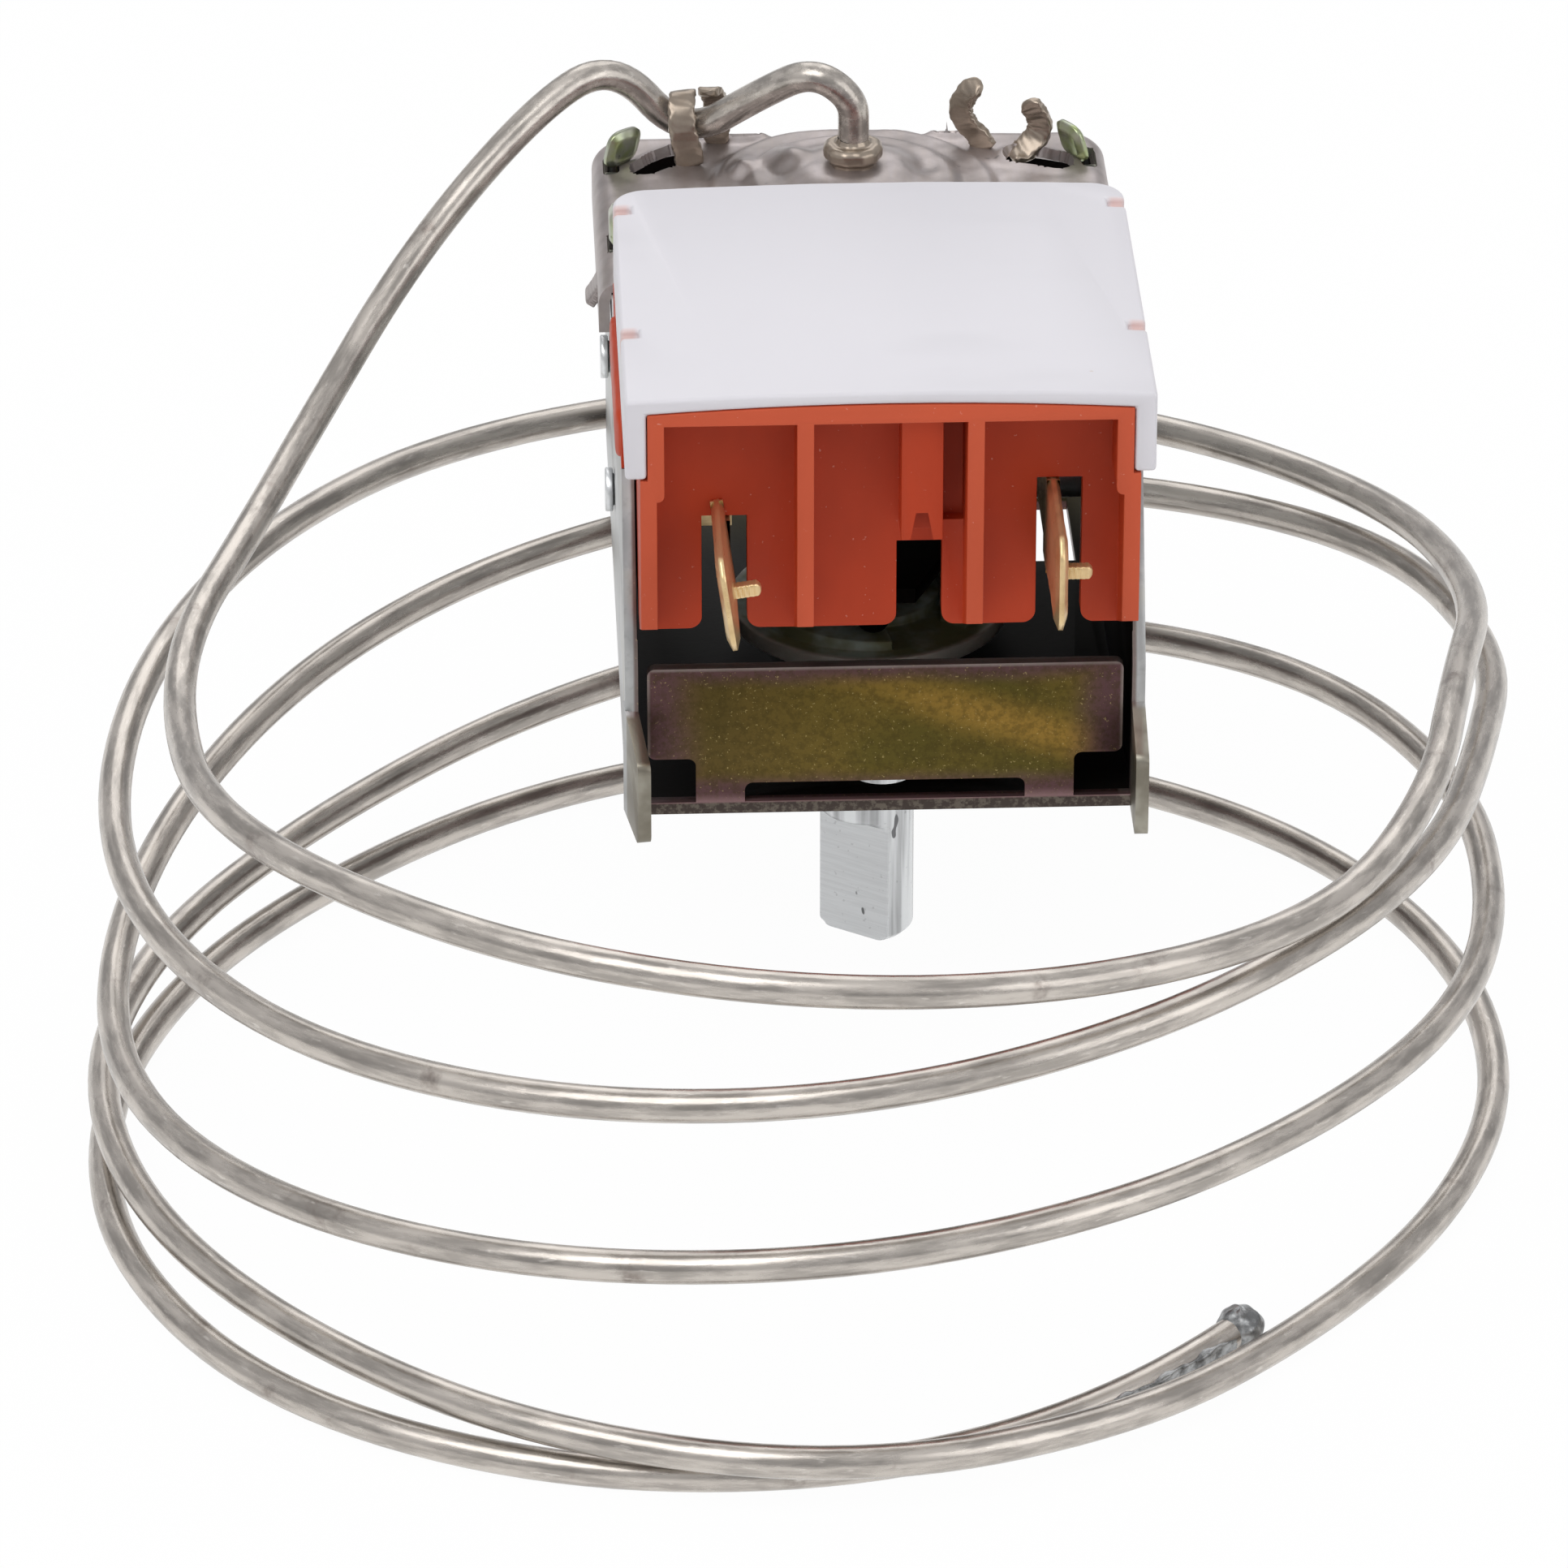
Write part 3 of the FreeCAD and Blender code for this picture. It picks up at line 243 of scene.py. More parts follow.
def passivated_steel(colours):
    """Olive panel with a slanting golden band, a mauve bloom towards its edges, a painted highlight along its edges
    and fine bright specks; silver grey outer sides, a grey green ear and painted shade, near black, on the inner
    faces."""
    material, tree, shader = blank_material("passivated_steel", 0.85, 0.38)
    vector = coordinates(tree)
    x, y, z = axes(tree, vector)
    wide = absolute(tree, x)
    clouds = noise(tree, vector, 190.0, 4.0)
    grain = noise(tree, vector, 2300.0, 3.0, 0.7)

    rim = math_node(tree, "MAXIMUM", ramp(tree, wide, 9.5 * MM, 15.0 * MM),
                    math_node(tree, "MAXIMUM", ramp(tree, z, 7.8 * MM, 10.6 * MM), ramp(tree, z, 3.6 * MM, 0.8 * MM)))
    bloom = ramp(tree, math_node(tree, "ADD", rim, times(tree, clouds, 0.5)), 0.35, 1.1)
    slant = math_node(tree, "ADD", times(tree, x, 0.33), z)
    across = distance_to(tree, slant, 8.5 * MM)
    band_share = times(tree, ramp(tree, across, 2.4 * MM, 0.0), ramp(tree, x, -8.0 * MM, 7.0 * MM))
    olive = mixed(tree, ramp(tree, noise(tree, vector, 110.0, 2.0), 0.40, 0.66), colours.passivated,
                  (0.098, 0.076, 0.014))
    olive = mixed(tree, times(tree, ramp(tree, x, -2.0 * MM, -11.0 * MM), 0.45), olive,
                  (0.060, 0.036, 0.014))
    panel = mixed(tree, times(tree, band_share, 0.7), olive, colours.passivated_gold)
    panel = mixed(tree, bloom, panel, colours.passivated_edge)
    shade = times(tree, ramp(tree, grain, 0.40, 0.66), 0.45)
    panel = mixed(tree, shade, panel, darker(colours.passivated, 0.35))
    specks = ramp(tree, noise(tree, vector, 5200.0, 2.0, 0.7), 0.65, 0.72)
    panel = mixed(tree, times(tree, specks, 0.35), panel, (0.66, 0.52, 0.22))
    # Painted highlight: a pale line along the panel's side and top edges, where the rounded edges would catch light.
    panel_rim_highlight = math_node(tree, "MAXIMUM", ramp(tree, wide, 14.30 * MM, 14.52 * MM),
                         ramp(tree, z, (PANEL_TOP_Z - 0.23) * MM, PANEL_TOP_Z * MM))
    panel = mixed(tree, times(tree, panel_rim_highlight, scaled(tree, clouds, 0.05, 0.6)), panel,
                  (0.50, 0.46, 0.42))
    feet = times(tree, ramp(tree, z, 1.5 * MM, 0.4 * MM), ramp(tree, y, -21.4 * MM, -21.8 * MM))
    panel = mixed(tree, times(tree, feet, 0.7), panel, (0.42, 0.26, 0.27))

    streaks = noise(tree, coordinates(tree, (1.0, 0.12, 1.0)), 1500.0, 4.0, 0.6)
    flank = mixed(tree, ramp(tree, clouds, 0.34, 0.70), darker(colours.side_grey, 0.74), colours.side_grey)
    flank = mixed(tree, times(tree, ramp(tree, streaks, 0.5, 0.75), 0.35), flank,
                  darker(colours.side_grey, 0.5))
    flank = mixed(tree, times(tree, ramp(tree, clouds, 0.52, 0.72), 0.4), flank, (0.33, 0.30, 0.17))
    outer = ramp(tree, wide, (SIDE_OUTER_X - 0.2) * MM, SIDE_OUTER_X * MM)
    sheared = times(tree, ramp(tree, z, (PLATE_EDGE_Z + 0.2) * MM, PLATE_EDGE_Z * MM),
                    ramp(tree, y, (PANEL_FACE_Y + 0.07) * MM, PANEL_FACE_Y * MM))
    sheared_tone = mixed(tree, ramp(tree, grain, 0.45, 0.62), (0.060, 0.046, 0.040), (0.13, 0.11, 0.09))
    panel = mixed(tree, sheared, panel, sheared_tone)
    base = mixed(tree, outer, panel, flank)

    ear = ramp(tree, y, -22.15 * MM, -22.6 * MM)
    ear_tone = mixed(tree, ramp(tree, clouds, 0.42, 0.62), (0.22, 0.20, 0.16), (0.40, 0.38, 0.32))
    base = mixed(tree, ear, base, ear_tone)
    tabs = ramp(tree, z, TAB_FOOT_Z * MM, (TAB_FOOT_Z + 0.5) * MM)
    base = mixed(tree, tabs, base, colours.tab_green)
    # Painted shade: the inner faces go near black, a little lighter towards the open rear.
    inner = inside_box(tree, (x, y, z), SIDE_INNER_X, PANEL_BACK_Y, PLATE_INSIDE_Z)
    depth = times(tree, ramp(tree, y, 9.0 * MM, 27.0 * MM), scaled(tree, clouds, 0.5, 1.0))
    base = mixed(tree, inner, base, mixed(tree, depth, colours.inside_painted_shade, (0.13, 0.105, 0.045)))
    painted(tree, shader, base, math_node(tree, "MAXIMUM", scaled(tree, clouds, 0.30, 0.48), times(tree, inner, 0.6)))
    bumped(tree, shader, math_node(tree, "ADD", grain, noise(tree, vector, 900.0, 3.0)), 0.02 * MM, 0.5)
    return material


def pale_green_zinc(colours):
    """Pale green zinc: grey green with yellow green patches, and dark pits."""
    material, tree, shader = blank_material("pale_green_zinc", 0.8, 0.3)
    vector = coordinates(tree)
    patches = noise(tree, vector, 420.0, 3.0)
    base = mixed(tree, ramp(tree, patches, 0.42, 0.62), colours.tab_green, (0.36, 0.42, 0.20))
    pits = ramp(tree, noise(tree, vector, 1500.0, 2.0), 0.66, 0.76)
    base = mixed(tree, times(tree, pits, 0.6), base, (0.12, 0.13, 0.08))
    painted(tree, shader, base)
    bumped(tree, shader, patches, 0.05 * MM, 0.4)
    return material


def tinned_steel(name, base_colour, warm, roughness):
    """Dull grey plating: slow clouds, drawn streaks along Y and small dark pits; painted shade, nearly black, under
    the cup.
    """
    material, tree, shader = blank_material(name, 0.8, roughness)
    vector = coordinates(tree)
    clouds = noise(tree, vector, 210.0, 5.0, 0.62)
    streaks = noise(tree, coordinates(tree, (9.0, 1.0, 6.0)), 260.0, 3.0)
    base = mixed(tree, ramp(tree, clouds, 0.35, 0.7), darker(base_colour, 0.62), base_colour)
    base = mixed(tree, times(tree, streaks, 0.55), base, warm)
    pits = ramp(tree, noise(tree, vector, 900.0, 2.0), 0.70, 0.78)
    base = mixed(tree, times(tree, pits, 0.55), base, darker(base_colour, 0.3))
    place = axes(tree, vector)
    # Painted shade: under the cup the plating goes nearly black.
    under_cup_shade = times(tree, math_node(tree, "LESS_THAN", place[2], (CUP_TOP - 0.65) * MM),
                  inside_box(tree, place, CUP_FLAT_X + 0.6, CUP_FRONT - 1.0, CUP_TOP - 5.0))
    base = mixed(tree, under_cup_shade, base, darker(base_colour, 0.08))
    painted(tree, shader, base, scaled(tree, clouds, roughness - 0.08, roughness + 0.12))
    bumped(tree, shader, math_node(tree, "ADD", streaks, noise(tree, vector, 1400.0, 3.0)), 0.02 * MM, 0.45)
    return material


def drawn_tube(colours):
    """Drawn grey tube: streaks along its length from the curve's own UV, with scuffs and darker stains."""
    material, tree, shader = blank_material("drawn_tube", 0.82, 0.36)
    along = coordinates(tree, (260.0, 7.0, 1.0), "UV")
    streaks = noise(tree, along, 1.0, 4.0, 0.6)
    stains = noise(tree, coordinates(tree), 230.0, 5.0, 0.65)
    fine = noise(tree, coordinates(tree, (900.0, 16.0, 1.0), "UV"), 1.0, 3.0)
    base = mixed(tree, ramp(tree, streaks, 0.36, 0.64), darker(colours.tube_grey, 0.62), colours.tube_grey)
    base = mixed(tree, ramp(tree, stains, 0.58, 0.76), base, (0.28, 0.24, 0.215))
    base = mixed(tree, times(tree, ramp(tree, fine, 0.6, 0.72), 0.5), base, (0.78, 0.735, 0.68))
    painted(tree, shader, base, scaled(tree, streaks, 0.15, 0.38))
    bumped(tree, shader, math_node(tree, "ADD", streaks, fine), 0.03 * MM, 0.4)
    return material


def turned_zinc(name, base_colour, roughness=0.3):
    """Turned metal: fine rings round Z, soft clouds and a few dark nicks."""
    material, tree, shader = blank_material(name, 0.9, roughness)
    rings = noise(tree, coordinates(tree, (0.6, 0.6, 26.0)), 260.0, 3.0)
    clouds = noise(tree, coordinates(tree), 240.0, 4.0)
    base = mixed(tree, ramp(tree, clouds, 0.38, 0.66), darker(base_colour, 0.8), base_colour)
    nicks = ramp(tree, noise(tree, coordinates(tree, (1.0, 1.0, 0.5)), 820.0, 1.0), 0.73, 0.77)
    base = mixed(tree, times(tree, nicks, 0.8), base, darker(base_colour, 0.12))
    painted(tree, shader, base, scaled(tree, rings, roughness - 0.08, roughness + 0.16))
    bumped(tree, shader, rings, 0.02 * MM, 0.5)
    return material


def milled_zinc(colours):
    """Pale plated spindle: an even grey flat with fine horizontal brushing, and a round side with bright and dark
    vertical streaks of painted reflection and shade, told apart by the distance from the flat's plane; a few dark
    nicks on both."""
    material, tree, shader = blank_material("milled_zinc", 0.55, 0.42)
    vector = coordinates(tree)
    x, y, z = axes(tree, vector)
    toward = math_node(tree, "ADD", times(tree, x, math.cos(SPINDLE_FLAT_TURN)),
                       times(tree, y, math.sin(SPINDLE_FLAT_TURN)))
    off_flat = distance_to(tree, toward, SPINDLE_FLAT_DEPTH * MM)
    below_top = ramp(tree, z, (SPINDLE_FLAT_TOP + 0.2) * MM, (SPINDLE_FLAT_TOP - 0.1) * MM)
    on_flat = times(tree, ramp(tree, off_flat, 0.12 * MM, 0.04 * MM), below_top)
    brushing = noise(tree, coordinates(tree, (0.35, 0.35, 9.0)), 700.0, 4.0, 0.65)
    # Painted reflections and shade: bright and dark vertical streaks on the round side.
    reflection_streaks = noise(tree, coordinates(tree, (1.0, 1.0, 0.05)), 900.0, 3.0)
    side = mixed(tree, ramp(tree, reflection_streaks, 0.38, 0.64), darker(colours.zinc, 0.50), colours.zinc)
    flat = mixed(tree, ramp(tree, brushing, 0.36, 0.62), darker(colours.zinc, 0.85), darker(colours.zinc, 0.92))
    base = mixed(tree, on_flat, side, flat)
    nicks = ramp(tree, noise(tree, coordinates(tree, (1.0, 1.0, 0.55)), 900.0, 1.0), 0.72, 0.74)
    base = mixed(tree, times(tree, nicks, 0.85), base, (0.08, 0.08, 0.085))
    pores = ramp(tree, noise(tree, vector, 2600.0, 2.0), 0.66, 0.72)
    base = mixed(tree, times(tree, pores, 0.3), base, darker(colours.zinc, 0.35))
    painted(tree, shader, base, scaled(tree, on_flat, 0.26, 0.5))
    bumped(tree, shader, math_node(tree, "ADD", brushing, reflection_streaks), 0.02 * MM, 0.3)
    return material


def green_cam(colours):
    """Greenish passivation, its colour lightened as painted light, with yellow patches and a painted highlight along
    the rim.
    """
    material, tree, shader = blank_material("green_cam", 0.25, 0.35)
    vector = coordinates(tree)
    patches = noise(tree, vector, 170.0, 4.0, 0.6)
    base = mixed(tree, ramp(tree, patches, 0.42, 0.6), colours.cam_green_lightened, (0.34, 0.36, 0.20))
    x, y = axes(tree, vector)[:2]
    from_axis = math_node(tree, "SQRT", math_node(tree, "ADD", times(tree, x, x), times(tree, y, y)))
    # Painted highlight: a near-white line along the cam's rim.
    cam_rim_highlight = ramp(tree, from_axis, (CAM_RIM_RADIUS - 0.45) * MM, CAM_RIM_RADIUS * MM)
    base = mixed(tree, times(tree, cam_rim_highlight, 0.8), base, (0.95, 0.93, 0.86))
    painted(tree, shader, base, scaled(tree, patches, 0.25, 0.5))
    bumped(tree, shader, noise(tree, vector, 1300.0, 3.0), 0.02 * MM, 0.4)
    return material


def blade_brass(colours):
    """Rolled brass: lengthwise streaks along Y, brown tarnish clouds and bright scratches."""
    material, tree, shader = blank_material("blade_brass", 0.75, 0.3)
    streaks = noise(tree, coordinates(tree, (6.0, 1.0, 18.0)), 380.0, 3.0)
    tarnish = noise(tree, coordinates(tree), 260.0, 4.0, 0.6)
    base = mixed(tree, ramp(tree, tarnish, 0.45, 0.75), colours.brass, (0.60, 0.40, 0.19))
    base = mixed(tree, times(tree, ramp(tree, streaks, 0.58, 0.7), 0.5), base, (0.90, 0.70, 0.36))
    painted(tree, shader, base, scaled(tree, streaks, 0.2, 0.45))
    bumped(tree, shader, streaks, 0.02 * MM, 0.5)
    return material


def moulded_red(colours):
    """Moulded thermoset: brick red with painted light on its front faces, faint flow clouds, pale dust specks and a
    fine orange-peel skin."""
    material, tree, shader = blank_material("moulded_red", 0.0, 0.45, 0.0)
    shader.inputs["Specular IOR Level"].default_value = 0.2
    vector = coordinates(tree)
    flow = noise(tree, coordinates(tree, (1.0, 1.0, 0.5)), 110.0, 4.0, 0.55)
    base = mixed(tree, ramp(tree, flow, 0.3, 0.72), darker(colours.thermoset, 0.82), colours.thermoset)
    # Painted light: the block's front faces are lighter.
    front_painted_light = ramp(tree, axes(tree, vector)[1], -26.2 * MM, -26.95 * MM)
    base = mixed(tree, times(tree, front_painted_light, 0.55), base, (0.66, 0.135, 0.065))
    dust = ramp(tree, noise(tree, vector, 2600.0, 2.0, 0.6), 0.70, 0.78)
    base = mixed(tree, times(tree, dust, 0.4), base, (0.80, 0.50, 0.40))
    painted(tree, shader, base, scaled(tree, noise(tree, vector, 300.0, 3.0), 0.36, 0.52))
    bumped(tree, shader, noise(tree, vector, 900.0, 3.0), 0.02 * MM, 0.35)
    return material


def milky_white(colours):
    """Milky moulded lid: almost even, with faint grey ghosts, a reddish painted shade at each side notch and small
    tan scuffs.
    """
    material, tree, shader = blank_material("milky_white", 0.0, 0.42)
    vector = coordinates(tree)
    ghosts = ramp(tree, noise(tree, coordinates(tree, (0.6, 1.3, 1.0)), 95.0, 2.0), 0.52, 0.75)
    base = mixed(tree, times(tree, ghosts, 0.3), colours.lid_white, darker(colours.lid_white, 0.86))
    x, y, z = axes(tree, vector)
    edge = times(tree, ramp(tree, absolute(tree, x), 14.7 * MM, 15.2 * MM), ramp(tree, z, 28.6 * MM, 29.6 * MM))
    # Painted shade, reddish, on the lid's edge beside each side notch, standing in for the notch's hollow.
    for notch_y in LID_NOTCHES_Y:
        beside = ramp(tree, distance_to(tree, y, notch_y * MM), 1.0 * MM, 0.3 * MM)
        base = mixed(tree, times(tree, times(tree, edge, beside), 0.8), base, (0.72, 0.46, 0.41))
    scuffs = ramp(tree, noise(tree, coordinates(tree, (1.0, 2.2, 1.0)), 520.0, 2.0, 0.6), 0.765, 0.80)
    base = mixed(tree, times(tree, scuffs, 0.5), base, (0.52, 0.40, 0.30))
    painted(tree, shader, base, scaled(tree, noise(tree, vector, 240.0, 3.0), 0.38, 0.50))
    shader.inputs["Subsurface Weight"].default_value = 0.15
    shader.inputs["Subsurface Radius"].default_value = (1.0 * MM, 1.0 * MM, 1.0 * MM)
    shader.inputs["Subsurface Scale"].default_value = 0.8
    bumped(tree, shader, noise(tree, vector, 420.0, 2.0), 0.02 * MM, 0.2)
    return material


def black_phenolic(colours):
    """Matt black moulding with a fine grain."""
    material, tree, shader = blank_material("black_phenolic", 0.0, 0.5)
    grain = noise(tree, coordinates(tree), 700.0, 3.0)
    base = mixed(tree, grain, colours.phenolic, darker(colours.phenolic, 2.2))
    painted(tree, shader, base)
    bumped(tree, shader, grain, 0.02 * MM, 0.4)
    return material


def solder_tin(colours):
    """Dull soft solder: dark and bright lumps over a pitted skin."""
    material, tree, shader = blank_material("solder_tin", 0.75, 0.36)
    lumps = noise(tree, coordinates(tree), 900.0, 4.0, 0.65)
    base = mixed(tree, ramp(tree, lumps, 0.38, 0.62), darker(colours.zinc, 0.22), darker(colours.zinc, 0.60))
    painted(tree, shader, base, scaled(tree, lumps, 0.24, 0.5))
    bumped(tree, shader, lumps, 0.12 * MM, 0.7)
    return material


FINISHES = {
    "passivated_steel": passivated_steel,
    "green_steel": green_cam,
    "zinc_steel": lambda colours: turned_zinc("turned_zinc", tuple(colours.zinc)),
    "milled_zinc": milled_zinc,
    "spring_steel": lambda colours: turned_zinc("spring_wire", (0.34, 0.34, 0.35), 0.34),
    "tinned_sheet": lambda colours: tinned_steel("tinned_sheet", tuple(colours.tinned), (0.38, 0.32, 0.27), 0.38),
    "lanced_claw": lambda colours: tinned_steel("lanced_claw", (0.48, 0.41, 0.34), (0.30, 0.23, 0.17), 0.28),
    "green_zinc": pale_green_zinc,
    "tinned_copper": drawn_tube,
    "solder": solder_tin,
    "brass": blade_brass,
    "contact_silver": lambda colours: turned_zinc("contact_silver", (0.75, 0.75, 0.74), 0.22),
    "red_thermoset": moulded_red,
    "white_thermoset": milky_white,
    "black_thermoset": black_phenolic,
}
NODE_SLOTS = {part["node"]: part["material_slot"] for part in frame["record"]["subparts"]}
BODY_OF_NODE = {name: body for body, names in frame["record"]["behaviour"]["bodies"].items() for name in names}
finish_of_slot = {}


def finish_for(slot_name):
    """The material of a finish, made once."""
    if slot_name not in finish_of_slot:
        finish_of_slot[slot_name] = FINISHES[slot_name](bpy.context.scene.thermostat_colours)
    return finish_of_slot[slot_name]


def wear(obj, slot_name, finish_name=None):
    """Gives a piece its finish; the slot is the node's own, and a finish of another name may stand in it."""
    obj.data.materials.clear()
    obj.data.materials.append(finish_for(finish_name or slot_name))


def rides(obj, node_name, finish_name=None):
    """Hands a made piece to the body of its CAD node, in that node's finish or in one of another name."""
    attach(obj, BODY_OF_NODE[node_name])
    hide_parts(node_name)
    wear(obj, NODE_SLOTS[node_name], finish_name)
    return obj


# Meshes

def mesh_object(name, points, faces):
    mesh = bpy.data.meshes.new(name)
    mesh.from_pydata(points.reshape(-1, 3), [], faces)
    mesh.shade_smooth()
    obj = bpy.data.objects.new(name, mesh)
    bpy.context.scene.collection.objects.link(obj)
    return obj


def softened_copy(node_name, width, segments=2, angle=28.0, cut_at=None, cut_normal=None):
    """A CAD node's solid with its loose triangles merged into faces and its sharp edges broken by a small bevel.
    A cut leaves off what lies behind a plane's normal, where a made piece takes its place."""
    source = frame["nodes"][node_name]
    mesh = source.data.copy()
    mesh.name = node_name + "_soft"
    work = bmesh.new()
    work.from_mesh(mesh)
    bmesh.ops.remove_doubles(work, verts=work.verts, dist=0.002 * MM)
    bmesh.ops.dissolve_limit(work, angle_limit=math.radians(0.6), verts=work.verts, edges=work.edges)
    if cut_at is not None:
        bmesh.ops.bisect_plane(work, geom=work.verts[:] + work.edges[:] + work.faces[:], plane_co=cut_at,
                               plane_no=cut_normal, clear_inner=True)
    work.to_mesh(mesh)
    work.free()
    obj = bpy.data.objects.new(node_name + "_soft", mesh)
    bpy.context.scene.collection.objects.link(obj)
    bevel = obj.modifiers.new("edge break", "BEVEL")
    bevel.width = width
    bevel.segments = segments
    bevel.limit_method = "ANGLE"
    bevel.angle_limit = math.radians(angle)
    bevel.harden_normals = True
    mesh.shade_smooth()
    return rides(obj, node_name)


def surface(name, first, second, formula, closed=False):
    """A grid of points at every pair of the two parameters, placed by a formula of both and joined by quads."""
    u, v = np.meshgrid(first, second, indexing="ij")
    points = np.stack(np.broadcast_arrays(*formula(u, v)), axis=-1)
    rows, columns = u.shape
    index = np.arange(rows * columns).reshape(rows, columns)
    if closed:
        index = np.concatenate([index, index[:1]], axis=0)
    faces = np.stack([index[:-1, :-1], index[1:, :-1], index[1:, 1:], index[:-1, 1:]], axis=-1)
    return mesh_object(name, points, faces.reshape(-1, 4).tolist())


def trimmed_sheet(name, x, y, outside, place):
    """A flat grid trimmed where a distance field is positive. Points within about half a cell of the trim line
    move onto it, against the field's slope, and a formula of the flat position then bends the sheet in space."""
    flat_x, flat_y = np.meshgrid(x, y, indexing="ij")
    field = outside(flat_x, flat_y)
    slope_x, slope_y = np.gradient(field, x, y)
    steep = slope_x ** 2 + slope_y ** 2 + 1e-9
    reach = 0.55 * (x[1] - x[0])
    near = np.abs(field) < reach
    flat_x = flat_x - near * field * slope_x / steep
    flat_y = flat_y - near * field * slope_y / steep
    kept = field < reach
    whole = kept[:-1, :-1] & kept[1:, :-1] & kept[1:, 1:] & kept[:-1, 1:]
    index = np.arange(field.size).reshape(field.shape)
    faces = np.stack([index[:-1, :-1], index[1:, :-1], index[1:, 1:], index[:-1, 1:]], axis=-1)[whole]
    used, faces = np.unique(faces, return_inverse=True)
    points = np.stack(place(flat_x, flat_y), axis=-1).reshape(-1, 3)[used]
    return mesh_object(name, points, faces.reshape(-1, 4).tolist())


def revolved(name, profile, centre, steps=128, shape=None):
    """A profile of radius and height turned round a vertical axis; an extra formula may reshape the radius."""
    radius, height = np.array(profile).T * MM
    turn = np.linspace(0.0, 2 * np.pi, steps, endpoint=False)

    def formula(angle, station):
        at = station.astype(int)
        r = radius[at] if shape is None else shape(angle, radius[at], height[at])
        return centre[0] * MM + r * np.cos(angle), centre[1] * MM + r * np.sin(angle), height[at]

    return surface(name, turn, np.arange(len(radius)), formula, closed=True)


def rounded_profile(corners, radius, steps=5):
    """A profile's corners replaced by quadratic curves that start and end one radius away from each corner."""
    corners = np.array(corners, dtype=float)
    before, here, after = corners[:-2], corners[1:-1], corners[2:]
    back, ahead = before - here, after - here
    cut_back = np.minimum(radius / np.linalg.norm(back, axis=1), 0.45)[:, None]
    cut_ahead = np.minimum(radius / np.linalg.norm(ahead, axis=1), 0.45)[:, None]
    start, end = here + back * cut_back, here + ahead * cut_ahead
    t = np.linspace(0.0, 1.0, steps)[None, :, None]
    curve = (1 - t) ** 2 * start[:, None] + 2 * t * (1 - t) * here[:, None] + t ** 2 * end[:, None]
    return np.vstack([corners[:1], curve.reshape(-1, 2), corners[-1:]])


def smooth_path(knots, count):
    """A Catmull-Rom curve through the knots, sampled at even parameter steps."""
    knots = np.array(knots, dtype=float)
    padded = np.vstack([2 * knots[:1] - knots[1:2], knots, 2 * knots[-1:] - knots[-2:-1]])
    t = np.linspace(0.0, len(knots) - 1.000001, count)
    i = t.astype(int)
    f = (t - i)[:, None]
    a, b, c, d = padded[i], padded[i + 1], padded[i + 2], padded[i + 3]
    return 0.5 * (2 * b + (c - a) * f + (2 * a - 5 * b + 4 * c - d) * f ** 2 + (3 * b - a - 3 * c + d) * f ** 3)


def band(name, knots, across, width, thickness, rough=0.04, taper=0.15):
    """A torn metal band: a superellipse section carried along a smooth path. Its width falls towards the tip and
    wavers with sines of both parameters, and both ends close by shrinking the section."""
    path = smooth_path(knots, 60)
    along = np.gradient(path, axis=0)
    along /= np.linalg.norm(along, axis=1)[:, None]
    across = np.array(across, dtype=float)
    side = across - along * (along @ across)[:, None]
    side /= np.linalg.norm(side, axis=1)[:, None]
    up = np.cross(side, along)

    def formula(angle, station):
        at = station.astype(int)
        share = station / (len(path) - 1)
        end = np.clip(np.minimum(share * 14.0, (1 - share) * 9.0), 0.0, 1.0) ** 0.4
        wave = 1 + rough * (np.sin(37 * share + 3 * angle) + 0.6 * np.sin(83 * share - 5 * angle))
        power = 2 / 5.0
        wide = 0.5 * width * (1 - taper * share) * end * wave
        thick = 0.5 * thickness * end * wave
        a = wide * np.sign(np.cos(angle)) * np.abs(np.cos(angle)) ** power
        b = thick * np.sign(np.sin(angle)) * np.abs(np.sin(angle)) ** power
        point = path[at] + a[..., None] * side[at] + b[..., None] * up[at]
        return point[..., 0] * MM, point[..., 1] * MM, point[..., 2] * MM

    turn = np.linspace(0.0, 2 * np.pi, 48, endpoint=False)
    return surface(name, turn, np.arange(len(path)), formula, closed=True)


def thickened(obj, thickness):
    """Gives a sheet its wall, inwards from its outer face, and breaks the sheared edges."""
    solid = obj.modifiers.new("sheet", "SOLIDIFY")
    solid.thickness = thickness
    solid.offset = -1.0
    edge = obj.modifiers.new("edge break", "BEVEL")
    edge.width = 0.05 * MM
    edge.segments = 1
    edge.limit_method = "ANGLE"
    edge.angle_limit = math.radians(50.0)
    edge.harden_normals = True


